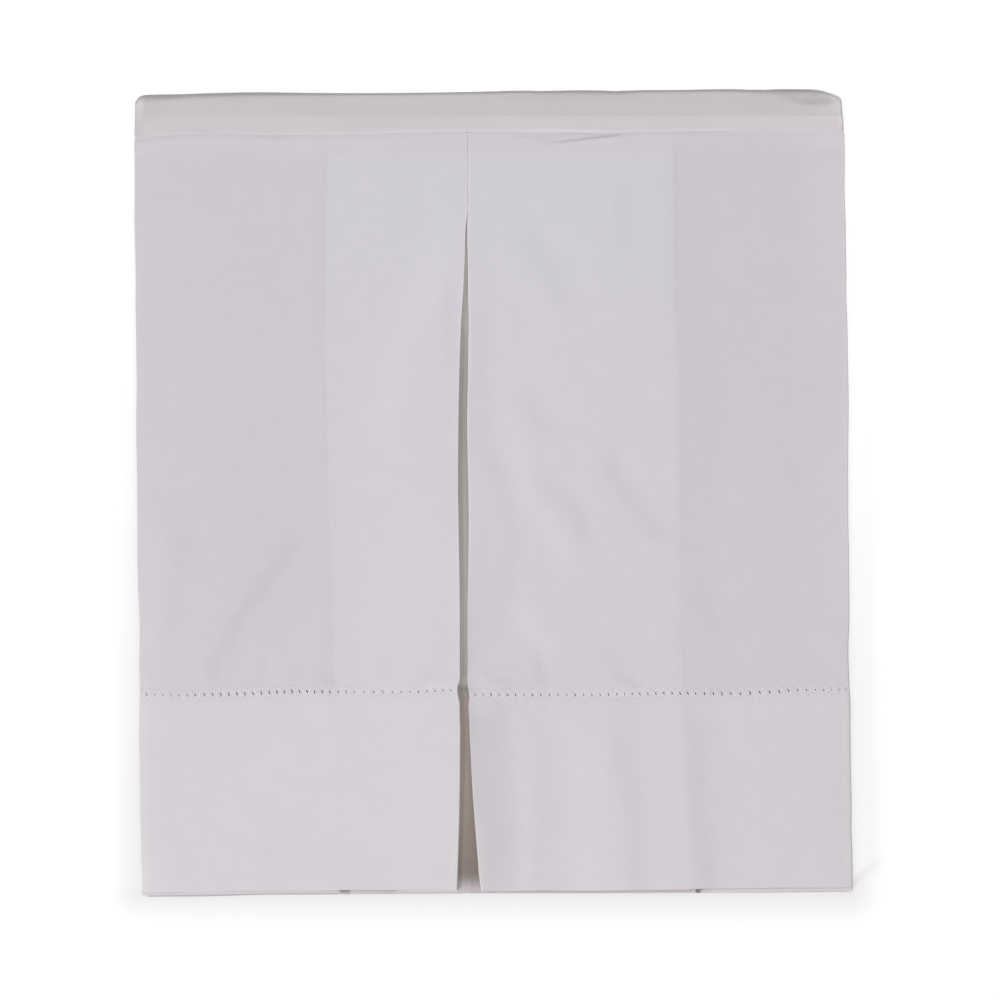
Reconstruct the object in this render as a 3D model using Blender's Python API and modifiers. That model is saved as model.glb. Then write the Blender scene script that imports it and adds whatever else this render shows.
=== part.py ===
"""Bed skirt, folded flat: a plain deck cloth (platform) folded back and forth, and a
tailored foot drop with one inverted pleat and a deep hem lying face up on top of it.

Frame: metres, +Z up, the bundle lies flat on z = 0, +Y points from the hem to the
rolled-over top end, the origin is at the bottom centre.  All tables are in
millimetres.  Both cloths are open middle surfaces given their thickness by Solidify.
"""

import math
from collections import namedtuple

import bmesh
import bpy

for leftover in list(bpy.data.objects):
    bpy.data.objects.remove(leftover, do_unlink=True)

MM = 0.001
CENTRE_X, CENTRE_Y = 0.20, -0.14  # middle of the tables' outline, which goes to the origin

# ---- thicknesses and levels -------------------------------------------------------
DECK_THICK = 2.2  # three plies of the deck cloth, which is folded in thirds lengthwise
DECK_PITCH = 2.6  # from one back-and-forth layer of the deck to the next
DECK_LAYERS = 5
PLY_THICK = 1.0  # one ply of the drop panel
PLY_PITCH = 1.3  # from one ply of the drop panel to the next
GAP = 0.3  # clear space between the two cloths where they meet

DECK_FIRST = DECK_THICK / 2
DECK_LAST = DECK_FIRST + (DECK_LAYERS - 1) * DECK_PITCH
WING_RIGHT = DECK_LAST + DECK_THICK / 2 + GAP + PLY_THICK / 2  # right wing, folded behind
WING_LEFT = WING_RIGHT + PLY_PITCH  # left wing, folded behind
UNDERLAY = WING_LEFT + PLY_PITCH
RETURN = UNDERLAY + PLY_PITCH
FACE = RETURN + PLY_PITCH
SINK = 0.8  # the face sinks beside the pleat, where it has two plies fewer below
WING_RISE = FACE - SINK - PLY_PITCH - WING_LEFT  # and the wings rise there to meet it
FLAP = FACE - 0.2  # middle of the deck band that shows above the seam

# ---- lengths ----------------------------------------------------------------------
WING = 316.0  # each end of the drop panel folded behind the face
NOSE_Y = 200.86  # middle of the cloth at the end of the roll, where the deck turns over
NOSE_REACH = 3.7  # the roll is flat on top up to this far from its end
SIDE_SLOPE = 12.0  # width in which face and wings change level beside the pleat

# ---- the drop panel's outline and pleat, from the seam down to the hem ------------
Station = namedtuple(
    "Station", "y left right lip_left lip_right return_left return_right"
)
STATIONS = (
    Station(181.5, -180.2, 175.8, -12.95, -12.45, -83.2, 90.2),
    Station(158.0, -180.0, 176.2, -12.95, -12.45, -83.6, 90.2),
    Station(139.0, -179.9, 176.7, -13.0, -12.5, -84.0, 90.4),
    Station(117.0, -179.8, 177.0, -14.3, -13.2, -84.4, 90.6),
    Station(92.0, -179.7, 177.4, -15.6, -13.3, -84.7, 91.2),
    Station(60.0, -179.6, 177.8, -17.3, -13.5, -84.2, 93.2),
    Station(24.0, -179.3, 178.2, -17.8, -13.6, -83.4, 93.8),
    Station(-12.0, -179.1, 178.3, -17.7, -13.4, -82.6, 94.0),
    Station(-48.0, -178.7, 178.7, -17.4, -13.7, -81.4, 94.2),
    Station(-80.0, -178.4, 179.0, -17.3, -13.4, -80.2, 94.6),
    Station(-100.0, -178.2, 179.2, -18.0, -12.5, -79.6, 95.2),
    Station(-126.0, -178.1, 179.5, -17.0, -11.7, -78.8, 96.2),
    Station(-152.0, -177.8, 179.8, -17.2, -10.4, -77.8, 97.2),
    Station(-176.0, -177.4, 180.2, -17.8, -8.6, -77.0, 98.4),
    Station(-199.2, -176.8, 180.6, -18.2, -6.5, -76.4, 99.4),
)

# ---- the seam between deck and drop panel, across the stack ------------------------
# both cloths have an edge point at each of these, so that they stay the gap apart
Seam = namedtuple("Seam", "x y")
SEAM = (
    Seam(-181.0, 177.4),
    Seam(-174.0, 179.3),
    Seam(-158.0, 180.3),
    Seam(-143.0, 181.6),
    Seam(-121.0, 180.5),
    Seam(-70.0, 180.5),
    Seam(-50.0, 181.8),
    Seam(37.0, 182.2),
    Seam(64.0, 181.5),
    Seam(144.0, 182.0),
    Seam(181.0, 181.6),
)
PLEAT_TOP = 180.0  # the pleat's hidden plies end just below the seam
WING_TOP = 177.0  # and so do the wings
FACE_LEFT_FILL = (-106.0, -92.0, -82.0, -34.0, -22.0)  # more columns of the face
FACE_RIGHT_FILL = (-4.0, 8.0, 22.0, 50.0, 78.0, 90.0, 104.0, 118.0, 131.0, 160.0, 172.0)

# ---- where each ply's hem ends ------------------------------------------------------
HEM_FACE_LEFT, HEM_FACE_MIDDLE, HEM_FACE_RIGHT = -198.6, -199.8, -198.9
HEM_RETURN = -200.2
HEM_UNDERLAY = -200.5
HEM_WING_LEFT = -201.3
HEM_WING_RIGHT = -200.9

# ---- soft creases and flutes pressed into the face ---------------------------------
# a line from (x0, y0) to (x1, y1), its height (up is positive) and half width
Crease = namedtuple("Crease", "x0 y0 x1 y1 height half_width")
CREASES = (
    Crease(-97.0, -22.0, -143.0, -94.0, -0.6, 14.0),
    Crease(-150.0, -50.0, -165.0, -85.0, -0.4, 12.0),
    Crease(45.0, -5.0, 82.0, -30.0, 0.4, 16.0),
    Crease(97.0, -35.0, 122.0, -79.0, -0.5, 14.0),
    Crease(-7.0, 128.0, 36.0, 96.0, 0.3, 16.0),
    Crease(-9.0, -112.0, -3.0, -196.0, 0.5, 8.0),
    Crease(18.0, -106.0, 18.0, -196.0, 0.5, 12.0),
    Crease(48.0, -106.0, 47.0, -196.0, 0.5, 12.0),
    Crease(86.0, -106.0, 87.0, -196.0, 0.4, 12.0),
    Crease(104.0, -106.0, 106.0, -196.0, -0.5, 10.0),
    Crease(-113.0, -106.0, -112.0, -196.0, -0.4, 10.0),
)

# ---- the deck's folds ---------------------------------------------------------------
# end is +1 at the top end and -1 at the hem end; crest is the cloth's middle at the fold
Fold = namedtuple("Fold", "end crest lower upper")
DECK_FOLDS = (
    Fold(-1, -201.8, DECK_FIRST, DECK_FIRST + DECK_PITCH),
    Fold(+1, 193.4, DECK_FIRST + DECK_PITCH, DECK_FIRST + 2 * DECK_PITCH + 0.7),
    Fold(-1, -200.3, DECK_FIRST + 2 * DECK_PITCH, DECK_FIRST + 3 * DECK_PITCH),
    Fold(+1, 194.6, DECK_FIRST + 3 * DECK_PITCH + 0.7, DECK_LAST + 2.6),
)
DECK_END = -193.0  # the deck's far end, inside the stack
SWELL_PAST_SEAM = 0.8  # past here the layers part into the fuller loops at the top end

# how far each layer of the deck, from the lowest up, stays inside the panel's outline
Layer = namedtuple("Layer", "number left right")
LAYERS = (
    Layer(0, 0.9, 0.9),
    Layer(1, 1.7, 0.6),
    Layer(2, 0.8, 1.6),
    Layer(3, 2.1, 1.0),
    Layer(4, 1.2, 1.9),
)

# ---- the roll at the top end, across the width ----------------------------------------
# how far it stays back from its full length, and how far its top sinks, at the corners
Roll = namedtuple("Roll", "x recess drop")
ROLL = (
    Roll(-180.0, 3.2, 1.4),
    Roll(-174.0, 1.9, 0.8),
    Roll(-158.0, 0.8, 0.3),
    Roll(-121.0, 0.3, 0.0),
    Roll(-30.0, 0.2, 0.0),
    Roll(37.0, -0.6, 0.0),
    Roll(144.0, -0.7, 0.0),
    Roll(160.0, -0.3, 0.3),
    Roll(172.0, 1.7, 1.1),
    Roll(176.0, 3.4, 1.7),
)
DECK_FILL = (160.0, 172.0)  # more columns of the deck


def at(table, key, value, column):
    """The value of a column of a table whose key column runs one way, between rows."""
    rows = sorted(table, key=lambda row: getattr(row, key))
    if value <= getattr(rows[0], key):
        return getattr(rows[0], column)
    for low, high in zip(rows, rows[1:]):
        a, b = getattr(low, key), getattr(high, key)
        if value <= b:
            share = (value - a) / (b - a)
            return getattr(low, column) * (1 - share) + getattr(high, column) * share
    return getattr(rows[-1], column)


def ease(t):
    t = min(max(t, 0.0), 1.0)
    return t * t * (3 - 2 * t)


def run(a, b, steps, whole=False):
    """Points from a towards b in equal steps; b itself only if whole."""
    count = steps + 1 if whole else steps
    return [
        tuple(p + (q - p) * i / steps for p, q in zip(a, b)) for i in range(count)
    ]


def half_turn(across, low, high, side, steps, rising):
    """A half circle between two levels; across is where it starts and ends, side is
    the way it bulges, and rising is whether it goes from low to high."""
    radius, middle = (high - low) / 2, (high + low) / 2
    points = []
    for i in range(steps + 1):
        angle = math.pi * (i / steps - 0.5)
        points.append(
            (across + side * radius * math.cos(angle), middle + radius * math.sin(angle))
        )
    return points if rising else points[::-1]


# ---- the drop panel -------------------------------------------------------------------
def pressed(x, y):
    """Height of the creases at a point of the face."""
    height = 0.0
    for c in CREASES:
        dx, dy = c.x1 - c.x0, c.y1 - c.y0
        t = min(max(((x - c.x0) * dx + (y - c.y0) * dy) / (dx * dx + dy * dy), 0), 1)
        away = math.hypot(x - c.x0 - t * dx, y - c.y0 - t * dy)
        height += c.height * ease(1 - away / c.half_width)
    return height


def beside(x, s):
    """0 over the pleat's hidden plies, 1 well to the side of them."""
    outside = max(s.return_left - 2 - x, x - s.return_right - 2)
    return ease(outside / SIDE_SLOPE)


def face_level(x, s):
    """Middle of the face ply: full height over the pleat, lower beside it."""
    lift = pressed(x, s.y)
    return FACE - SINK * beside(x, s) + max(lift, -0.25 * beside(x, s))


def wing_run(start, end, level, s):
    """A wing between two places, higher beside the pleat than below it."""
    marks = []
    for edge, way in ((s.return_left - 2, -1), (s.return_right + 2, 1)):
        marks += [edge + way * SIDE_SLOPE * share for share in (0.0, 0.35, 0.65, 1.0)]
    way = 1 if end > start else -1
    places = sorted({start, end, *marks}, reverse=way < 0)
    low, high = min(start, end), max(start, end)
    return [
        (x, level + WING_RISE * beside(x, s)) for x in places if low <= x <= high
    ]


def face_run(start, end, s, fill):
    """The face between two folds, with a column at each point of the seam."""
    columns = sorted([*fill, *(p.x for p in SEAM if start < p.x < end)])
    return [(x, face_level(x, s)) for x in columns]


def panel_section(s):
    """The strip across the stack at one station: (ply, x, z) from the free end of the
    left wing, round the left side, over the face and through the pleat, round the
    right side to the free end of the right wing."""
    half = PLY_THICK / 2
    fold = PLY_PITCH / 2
    side = FACE - SINK
    left_low, right_low = WING_LEFT + WING_RISE, WING_RIGHT + WING_RISE
    left_c = s.left + half + (side - left_low) / 2
    right_c = s.right - half - (side - right_low) / 2
    lip_l, lip_r = s.lip_left - half - fold, s.lip_right + half + fold
    ret_l, ret_r = s.return_left + half + fold, s.return_right - half - fold

    out = []

    def add(ply, points):
        out.extend((ply, x, z) for x, z in points)

    add("wing_left", wing_run(s.left + WING, left_c, WING_LEFT, s)[:-1])
    add("face", half_turn(left_c, left_low, side, -1, 6, True))
    add("face", face_run(left_c, lip_l, s, FACE_LEFT_FILL))
    add("face", half_turn(lip_l, RETURN, face_level(lip_l, s), 1, 5, False))
    add("return", run((lip_l, RETURN), (ret_l, RETURN), 2)[1:])
    add("underlay", half_turn(ret_l, UNDERLAY, RETURN, -1, 5, False))
    add("underlay", run((ret_l, UNDERLAY), (ret_r, UNDERLAY), 3)[1:])
    add("underlay", half_turn(ret_r, UNDERLAY, RETURN, 1, 5, True))
    add("return", run((ret_r, RETURN), (lip_r, RETURN), 3)[1:])
    add("face", half_turn(lip_r, RETURN, face_level(lip_r, s), -1, 5, True))
    add("face", face_run(lip_r, right_c, s, FACE_RIGHT_FILL))
    add("face", half_turn(right_c, right_low, side, 1, 6, False))
    add("wing_right", wing_run(right_c, s.right - WING, WING_RIGHT, s)[1:])
    return out


def hem_end(ply, x):
    if ply == "face":
        share = (x + 180) / 360
        if share < 0.5:
            return HEM_FACE_LEFT + (HEM_FACE_MIDDLE - HEM_FACE_LEFT) * ease(2 * share)
        return HEM_FACE_MIDDLE + (HEM_FACE_RIGHT - HEM_FACE_MIDDLE) * ease(
            2 * share - 1
        )
    return {
        "return": HEM_RETURN,
        "underlay": HEM_UNDERLAY,
        "wing_left": HEM_WING_LEFT,
        "wing_right": HEM_WING_RIGHT,
    }[ply]


def seam_y(x):
    return at(SEAM, "x", x, "y")


def panel_grid():
    grid = []
    for number, s in enumerate(STATIONS):
        row = []
        for ply, x, z in panel_section(s):
            y = s.y
            if number == 0:
                y = seam_y(x) - GAP / 2
                if ply in ("return", "underlay"):
                    y = PLEAT_TOP
                elif ply != "face":
                    y = WING_TOP
            elif number == len(STATIONS) - 1:
                y = hem_end(ply, x)
            row.append((x, y, z))
        grid.append(row)
    return grid


# ---- the deck ---------------------------------------------------------------------------
def deck_section(x):
    """The deck from its seam edge, over the roll at the top end and back and forth to
    its far end, as (y, z, layer)."""
    recess, drop = at(ROLL, "x", x, "recess"), at(ROLL, "x", x, "drop")
    edge = seam_y(x) + GAP / 2
    top = FLAP - drop
    half_height, middle = (top - DECK_FIRST) / 2, (top + DECK_FIRST) / 2
    centre = NOSE_Y - NOSE_REACH - recess
    points = run((edge, top, 0), (centre, top, 0), 2)
    for i in range(17):  # the squarish nose: half of an ellipse, closer at its ends
        angle = math.pi / 2 * math.cos(math.pi * i / 16)
        across = centre + NOSE_REACH * math.cos(angle)
        points.append((across, middle + half_height * math.sin(angle), 0))
    swell = edge + SWELL_PAST_SEAM
    here, level = centre, DECK_FIRST
    for layer, f in enumerate(DECK_FOLDS):
        radius = (f.upper - f.lower) / 2
        start = f.crest - f.end * radius - (recess if f.end > 0 else 0)
        flat_to = swell if f.end > 0 else start
        points += run((here, level, layer), (flat_to, level, layer), 3)[1:]
        if f.end > 0:
            points.append((flat_to, level, layer))
        turn = half_turn(start, f.lower, f.upper, f.end, 6, True)
        points += [(y, z, layer + i / 6) for i, (y, z) in enumerate(turn)]
        level += DECK_PITCH
        here = start
        if f.end > 0:
            points.append((swell, level, layer + 1))
            here = swell
    last = len(DECK_FOLDS)
    points += run((here, level, last), (DECK_END, level, last), 3, whole=True)[1:]
    return points


def deck_grid():
    """Columns of the deck, each at the same share of the stack's slanted width."""

    def sides(y, layer):
        left = at(STATIONS, "y", y, "left") + at(LAYERS, "number", layer, "left")
        right = at(STATIONS, "y", y, "right") - at(LAYERS, "number", layer, "right")
        return left, right

    left, right = sides(STATIONS[0].y, 0)
    columns = [left, *(p.x for p in SEAM if left < p.x < right), *DECK_FILL, right]
    rows = []
    for x in sorted(columns):
        share = (x - left) / (right - left)
        row = []
        for y, z, layer in deck_section(x):
            low, high = sides(y, layer)
            row.append((low + (high - low) * share, y, z))
        rows.append(row)
    return rows


# ---- making the objects --------------------------------------------------------------------
def cloth(name, grid, thickness, colour, roughness, collection):
    """A named cloth: the grid as an open surface, with Solidify on both sides of it."""
    mesh = bpy.data.meshes.new(name)
    shape = bmesh.new()
    rows = [
        [
            shape.verts.new(((x - CENTRE_X) * MM, (y - CENTRE_Y) * MM, z * MM))
            for x, y, z in row
        ]
        for row in grid
    ]
    for first, second in zip(rows, rows[1:]):
        for i in range(len(first) - 1):
            shape.faces.new((first[i], first[i + 1], second[i + 1], second[i]))
    bmesh.ops.recalc_face_normals(shape, faces=shape.faces)
    shape.to_mesh(mesh)
    shape.free()
    mesh.shade_smooth()
    mesh.set_sharp_from_angle(angle=math.radians(50))

    thing = bpy.data.objects.new(name, mesh)
    collection.objects.link(thing)
    shell = thing.modifiers.new("Solidify", "SOLIDIFY")
    shell.thickness = thickness * MM
    shell.offset = 0.0
    shell.use_even_offset = True
    shell.use_quality_normals = True
    shell.use_rim = True

    finish = bpy.data.materials.new(name + "_cloth")
    finish.use_nodes = True
    surface = finish.node_tree.nodes["Principled BSDF"]
    surface.inputs["Base Color"].default_value = (*colour, 1.0)
    surface.inputs["Roughness"].default_value = roughness
    surface.inputs["Metallic"].default_value = 0.0
    mesh.materials.append(finish)
    return thing


bundle = bpy.data.collections.new("bed_skirt")
bpy.context.scene.collection.children.link(bundle)

cloth("platform", deck_grid(), DECK_THICK, (0.61, 0.57, 0.57), 0.9, bundle)
cloth("drop_panel", panel_grid(), PLY_THICK, (0.64, 0.61, 0.64), 0.85, bundle)
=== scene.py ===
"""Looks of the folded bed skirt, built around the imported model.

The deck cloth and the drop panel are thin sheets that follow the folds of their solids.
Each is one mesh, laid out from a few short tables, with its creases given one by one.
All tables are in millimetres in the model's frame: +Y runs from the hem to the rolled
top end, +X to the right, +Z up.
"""

import math

import bmesh
import bpy
import numpy as np
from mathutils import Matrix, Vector


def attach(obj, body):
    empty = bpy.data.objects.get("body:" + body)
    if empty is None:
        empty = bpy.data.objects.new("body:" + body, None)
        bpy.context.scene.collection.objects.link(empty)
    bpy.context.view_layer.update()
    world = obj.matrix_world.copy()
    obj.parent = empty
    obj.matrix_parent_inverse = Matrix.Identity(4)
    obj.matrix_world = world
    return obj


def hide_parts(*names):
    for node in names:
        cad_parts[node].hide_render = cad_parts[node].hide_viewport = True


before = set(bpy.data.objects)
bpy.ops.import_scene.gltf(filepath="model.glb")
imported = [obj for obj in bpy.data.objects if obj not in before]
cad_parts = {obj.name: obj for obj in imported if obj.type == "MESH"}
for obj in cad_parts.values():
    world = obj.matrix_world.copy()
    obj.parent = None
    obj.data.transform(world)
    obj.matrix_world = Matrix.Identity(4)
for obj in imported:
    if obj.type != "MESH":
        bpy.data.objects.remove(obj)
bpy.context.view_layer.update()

MM = 0.001
CENTRE_X, CENTRE_Y = 0.20, -0.14  # as in the part: its tables, less this, are the frame

# ---- levels of the solids that the sheets lie in -------------------------------------
DECK_FIRST, DECK_PITCH = 1.1, 2.6
DECK_LAST = DECK_FIRST + 4 * DECK_PITCH
WING_RIGHT, WING_LEFT, UNDERLAY, RETURN, FACE = 13.4, 14.7, 16.0, 17.3, 18.6
SINK, WING_RISE = 0.8, 1.8
FLAP = 18.4
WING = 316.0

# ---- thin cloth ------------------------------------------------------------------------
PANEL_CLOTH = 0.35
DECK_CLOTH = 0.42
DECK_PLY = 0.85  # between the three plies that the deck is folded into lengthwise
FACE_LIFT = 0.2  # the thin face lies at the upper side of its solid
HEM_TURN = 0.24  # radius of the hem's bottom fold
STITCH_HALF = 2.2  # half of the hemstitch's height
HEM_ALLOWANCE = 8.6  # the hem's raw edge, turned in under the hemstitch
SEAM_ALLOWANCE = 9.8

# ---- outline of the drop panel and its hidden pleat ---------------------------------------
#      y       left    right  return_left  return_right
SIDES = (
    (181.5, -180.2, 175.8, -83.2, 90.2),
    (158.0, -180.0, 176.2, -83.6, 90.2),
    (139.0, -179.9, 176.7, -84.0, 90.4),
    (117.0, -179.8, 177.0, -84.4, 90.6),
    (92.0, -179.7, 177.4, -84.7, 91.2),
    (60.0, -179.6, 177.8, -84.2, 93.2),
    (24.0, -179.3, 178.2, -83.4, 93.8),
    (-12.0, -179.1, 178.3, -82.6, 94.0),
    (-48.0, -178.7, 178.7, -81.4, 94.2),
    (-80.0, -178.4, 179.0, -80.2, 94.6),
    (-100.0, -178.2, 179.2, -79.6, 95.2),
    (-126.0, -178.1, 179.5, -78.8, 96.2),
    (-152.0, -177.8, 179.8, -77.8, 97.2),
    (-176.0, -177.4, 180.2, -77.0, 98.4),
    (-199.2, -176.8, 180.6, -76.4, 99.4),
)
# small ins and outs of the two side edges
#      y    further right
OUT_LEFT = (
    (202, -0.33), (170, -0.34), (154, -0.36), (142, -0.60), (132, -0.43), (122, -0.21),
    (112, -0.08), (98, -0.15), (82, 0.0), (70, 0.15), (52, 0.14), (42, -0.10), (32, -0.20),
    (22, -0.12), (10, 0.02), (-10, 0.09), (-22, 0.04), (-30, -0.12), (-40, 0.04),
    (-50, 0.08), (-58, 0.50), (-70, 0.62), (-80, 0.50), (-90, 0.27), (-99, 0.40),
    (-110, 0.14), (-120, 0.04), (-138, 0.09), (-150, 0.20), (-160, 0.14), (-170, 0.34),
    (-180, 0.28), (-189, 0.44), (-199, 0.20),
)
OUT_RIGHT = (
    (202, 0.05), (192, 0.02), (183, 0.30), (173, 0.36), (162, 0.12), (152, -0.10), (142, 0.02),
    (122, 0.03), (112, 0.08), (102, -0.17), (92, -0.04), (82, 0.17), (72, 0.10), (52, 0.22),
    (42, 0.16), (32, -0.04), (22, -0.19), (12, -0.27), (0, -0.17), (-18, -0.20), (-29, -0.05),
    (-49, 0.04), (-68, -0.04), (-75, -0.36), (-80, -0.50), (-89, -0.38), (-99, -0.12),
    (-109, 0.32), (-119, 0.10), (-129, -0.05), (-139, -0.27), (-150, -0.14), (-160, -0.18),
    (-169, -0.42), (-179, -0.18), (-189, -0.14), (-199, -0.32),
)
# the two fold edges of the pleat, shut at the top and then apart (in the frame itself)
#      y      left   right
LIPS = (
    (181.0, -13.12, -13.08),
    (145.0, -13.28, -13.24),
    (140.0, -13.32, -13.22),
    (137.3, -13.70, -13.34),
    (117.2, -14.5, -13.2),
    (97.1, -15.5, -12.95),
    (87.1, -16.2, -12.7),
    (77.0, -16.6, -12.9),
    (56.9, -17.2, -13.2),
    (36.8, -17.6, -13.6),
    (16.7, -17.75, -13.3),
    (-3.4, -17.8, -12.85),
    (-13.4, -17.6, -12.75),
    (-33.5, -17.3, -12.95),
    (-53.6, -17.0, -13.3),
    (-73.7, -16.95, -13.35),
    (-88.0, -16.95, -13.3),
    (-95.4, -17.1, -13.4),
    (-98.2, -18.0, -13.0),
    (-102.4, -18.0, -12.5),
    (-104.8, -17.4, -12.8),
    (-113.9, -16.85, -12.6),
    (-134.1, -16.75, -11.7),
    (-154.2, -17.0, -10.55),
    (-174.3, -17.5, -8.95),
    (-186.0, -17.9, -8.0),
    (-194.4, -18.2, -7.25),
    (-199.4, -18.4, -6.4),
)
#      y     light along the left fold edge
RIM_LEFT = (
    (140, 0.02), (118, 0.01), (105, 0.05), (85, 0.04), (75, 0.06), (45, 0.06), (22, 0.02),
    (-5, 0.04), (-30, 0.08), (-56, 0.08), (-80, 0.03), (-98, 0.03), (-106, 0.06),
    (-125, 0.03), (-152, 0.05), (-176, 0.03), (-198, 0.04),
)
#      y     light along the right fold edge, and the shade that spreads from it
RIM_RIGHT = (
    (140, 0.02, 0.0), (120, 0.05, 0.0), (104, 0.06, 0.0), (92, 0.10, 0.0), (77, 0.09, 0.0),
    (64, 0.04, 0.0), (44, -0.02, -0.01), (20, 0.0, -0.01), (-6, 0.09, 0.0), (-32, 0.02, 0.0),
    (-46, -0.06, -0.03), (-56, -0.08, -0.06), (-82, -0.08, -0.07), (-98, -0.07, -0.05),
    (-108, -0.09, -0.09), (-127, -0.07, -0.07), (-152, -0.03, -0.05), (-176, 0.0, -0.02),
    (-190, 0.02, 0.0), (-199, 0.05, 0.0),
)
SHUT_TO = 141.0  # the pleat is sewn shut from the seam down to here

# ---- the seam and the ends of the plies -----------------------------------------------------
#      x      y   (in the frame itself)
SEAM = (
    (-181.0, 177.0),
    (-179.9, 177.2),
    (-177.9, 177.8),
    (-172.9, 179.0),
    (-162.8, 180.0),
    (-155.2, 180.5),
    (-147.7, 180.6),
    (-140.2, 180.8),
    (-132.6, 180.7),
    (-117.6, 180.3),
    (-97.5, 180.8),
    (-67.3, 180.6),
    (-50.7, 181.1),
    (-37.1, 181.2),
    (-13.5, 181.5),
    (23.2, 181.3),
    (36.7, 181.6),
    (53.3, 181.1),
    (63.9, 181.2),
    (83.5, 181.5),
    (103.6, 181.9),
    (115.1, 181.9),
    (133.7, 181.8),
    (153.8, 181.8),
    (181.0, 181.6),
)
GAP = 0.06
PLEAT_TOP, WING_TOP = 180.0, 177.0
#      x     face    return  underlay  wing_left  wing_right   (in the frame itself)
HEM_ENDS = (
    (-181.0, -200.9, -201.4, -201.4, -202.2, -202.4),
    (-171.0, -200.8, -201.4, -201.4, -202.1, -202.4),
    (-157.0, -200.5, -201.4, -201.4, -201.9, -202.4),
    (-147.0, -200.4, -201.4, -201.4, -201.8, -202.4),
    (-132.0, -199.9, -201.2, -201.2, -201.3, -202.2),
    (-117.0, -199.8, -200.9, -200.9, -201.1, -201.9),
    (-97.0, -199.8, -200.5, -200.5, -200.9, -201.7),
    (-82.0, -199.6, -200.4, -200.4, -200.9, -201.7),
    (-77.6, -199.3, -200.2, -200.2, -200.9, -201.6),
    (-76.2, -199.3, -197.4, -197.6, -197.8, -201.6),
    (-50.6, -199.3, -197.8, -198.0, -198.1, -201.5),
    (-48.3, -199.2, -200.7, -200.7, -201.1, -201.5),
    (-37.0, -199.2, -200.3, -200.6, -201.0, -201.3),
    (-20.0, -199.4, -200.5, -200.8, -201.0, -201.2),
    (3.0, -199.9, -200.4, -200.6, -200.8, -201.0),
    (23.0, -199.4, -200.2, -200.6, -200.8, -201.1),
    (53.0, -199.6, -200.3, -200.6, -200.8, -201.2),
    (83.0, -199.2, -200.0, -200.3, -200.5, -201.2),
    (99.6, -199.0, -199.8, -200.0, -200.4, -200.9),
    (101.2, -198.9, -198.0, -198.2, -200.3, -200.9),
    (101.7, -198.8, -198.0, -198.2, -197.6, -200.7),
    (103.5, -198.8, -198.1, -198.3, -197.7, -200.7),
    (104.2, -198.7, -198.5, -198.5, -200.3, -200.9),
    (111.0, -198.7, -199.0, -199.0, -200.1, -200.9),
    (123.0, -198.6, -199.0, -199.0, -200.0, -200.8),
    (134.0, -198.4, -199.0, -199.0, -199.9, -200.6),
    (145.0, -198.2, -199.0, -199.0, -199.9, -200.2),
    (164.0, -198.2, -199.0, -199.0, -199.9, -200.1),
    (181.0, -198.1, -199.0, -199.0, -199.8, -199.9),
)

# ---- the hemstitch: its line, and the distance between its holes ----------------------------
#      x      y   (in the frame itself)
STITCH_LEFT = (
    (-182.0, -101.0),
    (-174.8, -101.1),
    (-162.8, -101.5),
    (-150.2, -101.5),
    (-137.2, -101.2),
    (-122.6, -100.7),
    (-110.0, -100.1),
    (-99.0, -99.7),
    (-88.0, -99.75),
    (-77.0, -99.75),
    (-60.0, -99.9),
    (-50.0, -99.9),
    (-33.6, -99.5),
    (-22.0, -99.1),
    (-14.0, -99.1),
)
STITCH_RIGHT = (
    (-16.0, -101.0),
    (-9.7, -101.1),
    (23.3, -101.4),
    (45.0, -101.3),
    (60.0, -101.1),
    (75.0, -100.8),
    (90.0, -100.5),
    (103.0, -100.7),
    (119.2, -100.7),
    (124.0, -100.7),
    (130.0, -100.3),
    (143.5, -99.7),
    (150.0, -99.1),
    (161.6, -98.8),
    (182.0, -98.4),
)
#      x     how far the stitched seam strays up from its general line
SEAM_WAVE = (
    (-181, 0.15), (-160, 0.25), (-140, 0.30), (-115, 0.0), (-90, -0.45), (-65, -0.1),
    (-40, 0.25), (-15, 0.55), (0, 0.65), (18, 0.5), (30, 0.2), (41, 0.1), (60, 0.3),
    (81, 0.45), (105, 0.4), (131, 0.35), (161, 0.5), (181, 0.5),
)
#           x     painted light along the line above the seam, painted light in the groove below it, painted light (above zero) and shade (below zero) on the cloth below
SEAM_LIGHT = (
    (-181, 0.02, 0.0, 0.012), (-140, 0.035, 0.0, 0.018), (-90, 0.02, 0.01, 0.018),
    (-65, 0.05, 0.012, 0.014), (-40, 0.065, 0.015, 0.010), (-10, 0.03, 0.04, 0.008),
    (5, 0.03, 0.045, 0.006), (18, 0.075, 0.03, -0.012), (30, 0.075, 0.02, -0.006),
    (41, 0.072, 0.012, 0.0), (60, 0.035, 0.008, 0.010), (81, 0.03, 0.005, 0.022),
    (105, 0.028, 0.03, 0.012), (131, 0.025, 0.055, 0.002), (150, 0.028, 0.06, 0.018),
    (161, 0.01, 0.07, 0.030), (181, 0.01, 0.07, 0.030),
)
#      number of the hole, x
HOLES_LEFT = (
    (0, -174.7),
    (6, -150.1),
    (7, -145.5),
    (15, -112.9),
    (20, -94.0),
    (23, -82.5),
    (26, -70.2),
    (30, -51.1),
    (34, -33.7),
    (37, -21.9),
)
HOLES_RIGHT = (
    (0, -9.4),
    (4, 6.8),
    (8, 23.6),
    (12, 40.9),
    (17, 61.8),
    (20, 73.4),
    (25, 93.6),
    (27, 101.5),
    (31, 119.1),
    (36, 143.5),
    (40, 161.7),
    (43, 173.6),
    (44, 177.0),
)
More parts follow.
